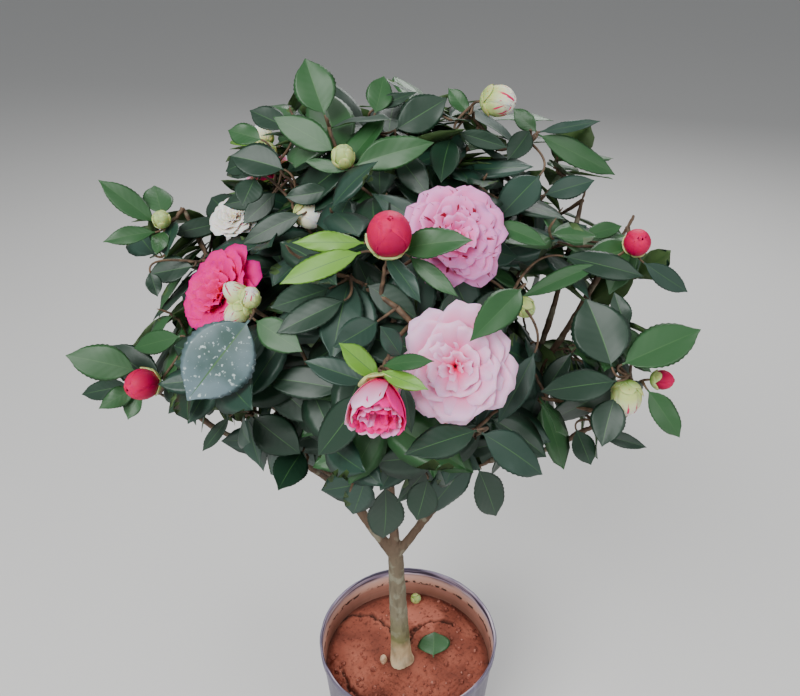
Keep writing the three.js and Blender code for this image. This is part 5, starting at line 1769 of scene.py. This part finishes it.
def soil_part():
    """A disc of rings from the middle of its foot, up the wall, and in over the top to the middle, and how
    much each point is in shade: near a crack, by the trunk and by the wall."""
    edge_z = SOIL["top"] - SOIL["edge_drop"]
    edge = pot_wall(edge_z) - POT["wall"] - SOIL["gap"]
    foot_z = POT["floor"] + SOIL["gap"]
    foot = pot_wall(foot_z) - POT["wall"] - SOIL["gap"]
    shares = np.linspace(0.995, 0.004, SOIL_RINGS)
    r = np.concatenate([[0.4, foot * 0.5, foot, (foot + edge) / 2, edge], edge * shares])[:, None]
    points = turned(r, 0, SOIL_COLUMNS)
    x, y, _ = np.moveaxis(points, -1, 0)
    z = soil_height(x, y)
    z[:5] = np.array([foot_z, foot_z, foot_z, (foot_z + edge_z) / 2, edge_z])[:, None]
    fall = 1 - smooth(0.9, 1, shares)[:, None]
    z[5:] = edge_z + (z[5:] - edge_z) * fall
    points[..., 2] = z
    in_crack = np.max([bell(line / SHADE["crack_half"]) for line in crack_lines(x, y)], axis=0)
    by_trunk = np.exp(-(np.maximum(from_trunk(x, y) - SHADE["trunk_room"], 0) / SHADE["trunk_fade"]))
    by_wall = smooth(SHADE["wall_from"], 1, r / edge)
    shade = SHADE["crack"] * in_crack + SHADE["trunk"] * by_trunk + SHADE["wall"] * by_wall
    return shells(points[None]), np.clip(shade, 0, SHADE["most"]).ravel().astype(np.float32)


part, shade = soil_part()
soil = make_object("clay_soil", part, [clay])
soil.data.attributes.new("shade", "FLOAT", "POINT").data.foreach_set("value", shade)
add_piece(soil, "soil", "soil")

# %% [markdown]
# Loose crumbs of the same clay lie on it, thickest towards the front. Each is a small dented egg of a few
# faces, sunk by a third into the soil, and all of them are one mesh. A particle system would scatter them
# too, but with noise by number each crumb is the same in every run. None lies where the fallen leaf does.

# %% Crumbs of soil
CRUMB_COUNT = 520
CRUMB_MM = (1.0, 3.4)
CRUMB_SHAPE = np.array([0.1, 0.5, 0.9])
# The share of crumbs that is kept at the back, how much more in front, and from which y to which.
CRUMBS_KEPT = {"back": 0.25, "front": 0.75, "from": 30, "to": -70}
CRUMB_RAISED = 0.35
LEAF_SPOT = (38, 14)
LEAF_ROOM = 29
TRUNK_ROOM = 24


def egg_rings(at, size, seed, rows, columns):
    """Rings of eggs: radius = sine of the angle from the foot, height = its cosine, both dented by noise."""
    angle = np.linspace(0.04, np.pi - 0.04, rows)[:, None]
    ball = turned(np.sin(angle), -np.cos(angle), columns)
    places = ball[None] * 1.7 + np.asarray(seed, float)[:, None, None, None]
    dent = 1 + 0.2 * grain(places.reshape(-1, 3), 3).reshape(places.shape[:3])[..., None]
    return np.asarray(at)[:, None, None] + ball[None] * dent * np.asarray(size)[:, None, None]


k = np.arange(CRUMB_COUNT)
reach = (pot_wall(SOIL["top"]) - POT["wall"] - 6) * np.sqrt(noise(k * 1.3 + 0.5))
turn = k * GOLDEN
x, y = reach * np.cos(turn), reach * np.sin(turn)
front = smooth(CRUMBS_KEPT["from"], CRUMBS_KEPT["to"], y)
keep = noise(k * 2.7) < CRUMBS_KEPT["back"] + CRUMBS_KEPT["front"] * front
keep &= (np.hypot(x - LEAF_SPOT[0], y - LEAF_SPOT[1]) > LEAF_ROOM) & (from_trunk(x, y) > TRUNK_ROOM)
x, y, k = x[keep], y[keep], k[keep]
size = CRUMB_MM[0] + (CRUMB_MM[1] - CRUMB_MM[0]) * noise(k * 3.9) ** 3
size = size[:, None] * (0.75 + 0.5 * noise(k[:, None] * 1.1 + CRUMB_SHAPE))
at = np.stack([x, y, soil_height(x, y) + CRUMB_RAISED * size[:, 2]], -1)
crumb_stops = [(0.35, "#6E3628"), (0.55, "#965242"), (0.7, "#B88070")]
crumb_clay = grained("loose clay crumbs", "#8E4A38", 0.95, 3, 3, crumb_stops, 0.4)
add_piece(make_object("soil_crumbs", shells(egg_rings(at, size, k, 6, 8)), [crumb_clay]), "soil")

# %% [markdown]
# Three things lie on the soil in the photograph: a pale upright pebble, a round green leaf, and a bud that
# dropped. The pebble is an egg of rings pushed about by noise. The leaf and the bud use the shrub's own
# shells. The leaf lies on the plane through the soil under its foot, its tip and its sides, and is lifted
# until no point of it is deep in the soil.

# %% Things on the soil
PEBBLE = {"at": (-35, -14, 182), "size": (5, 4.5, 9.5), "seed": 3, "rows": 14, "columns": 18}
FALLEN_LEAF = {"length": 46, "width": 50, "place": 1, "shoot": {"seed": 905}}
# Where the leaf's foot, its tip, its left and its right side lie.
LEAF_ON_SOIL = np.array([(37, -10), (40, 36), (16, 13), (61, 13)], float)
LEAF_SUNK = 0.3
FALLEN_BUD = {"at": np.array([9, 98, 181.0]), "toward": unit(np.array([0.8, -0.3, 0.25])), "seed": 77}
FALLEN_BUD_RADIUS = 6.5

stone_stops = [(0.35, "#A98A6C"), (0.6, "#D0B698")]
stone = grained("pale sandstone pebble", "#C4A688", 0.9, 2, 4, stone_stops, 0.3)
pebble = egg_rings(*([PEBBLE[key]] for key in ("at", "size", "seed")), PEBBLE["rows"], PEBBLE["columns"])
add_piece(make_object("pebble", shells(pebble), [stone]), "soil")

under = np.column_stack([LEAF_ON_SOIL, soil_height(*LEAF_ON_SOIL.T)])
foot, tip, left, right = under
lying = {"root": foot, "way": unit(tip - foot), "normal": unit(np.cross(right - left, tip - foot))}
rings, uv = leaf_rings([lying | FALLEN_LEAF], LEAF_KINDS["toothed"])
rings[..., 2] += (soil_height(rings[..., 0], rings[..., 1]) - rings[..., 2]).max() - LEAF_SUNK
part = shells(rings, uv, LEAF_KINDS["toothed"]["strips"])
add_piece(make_object("fallen_leaf", part, [leaf_tops[2], leaf_under, midrib]), "foliage")
part = shells(*petal_rings(bud(FALLEN_BUD, FALLEN_BUD_RADIUS, "sepal", 6, 0.9), "bud"))
add_piece(make_object("fallen_bud", part, [petal_materials["sepal"]]), "foliage")
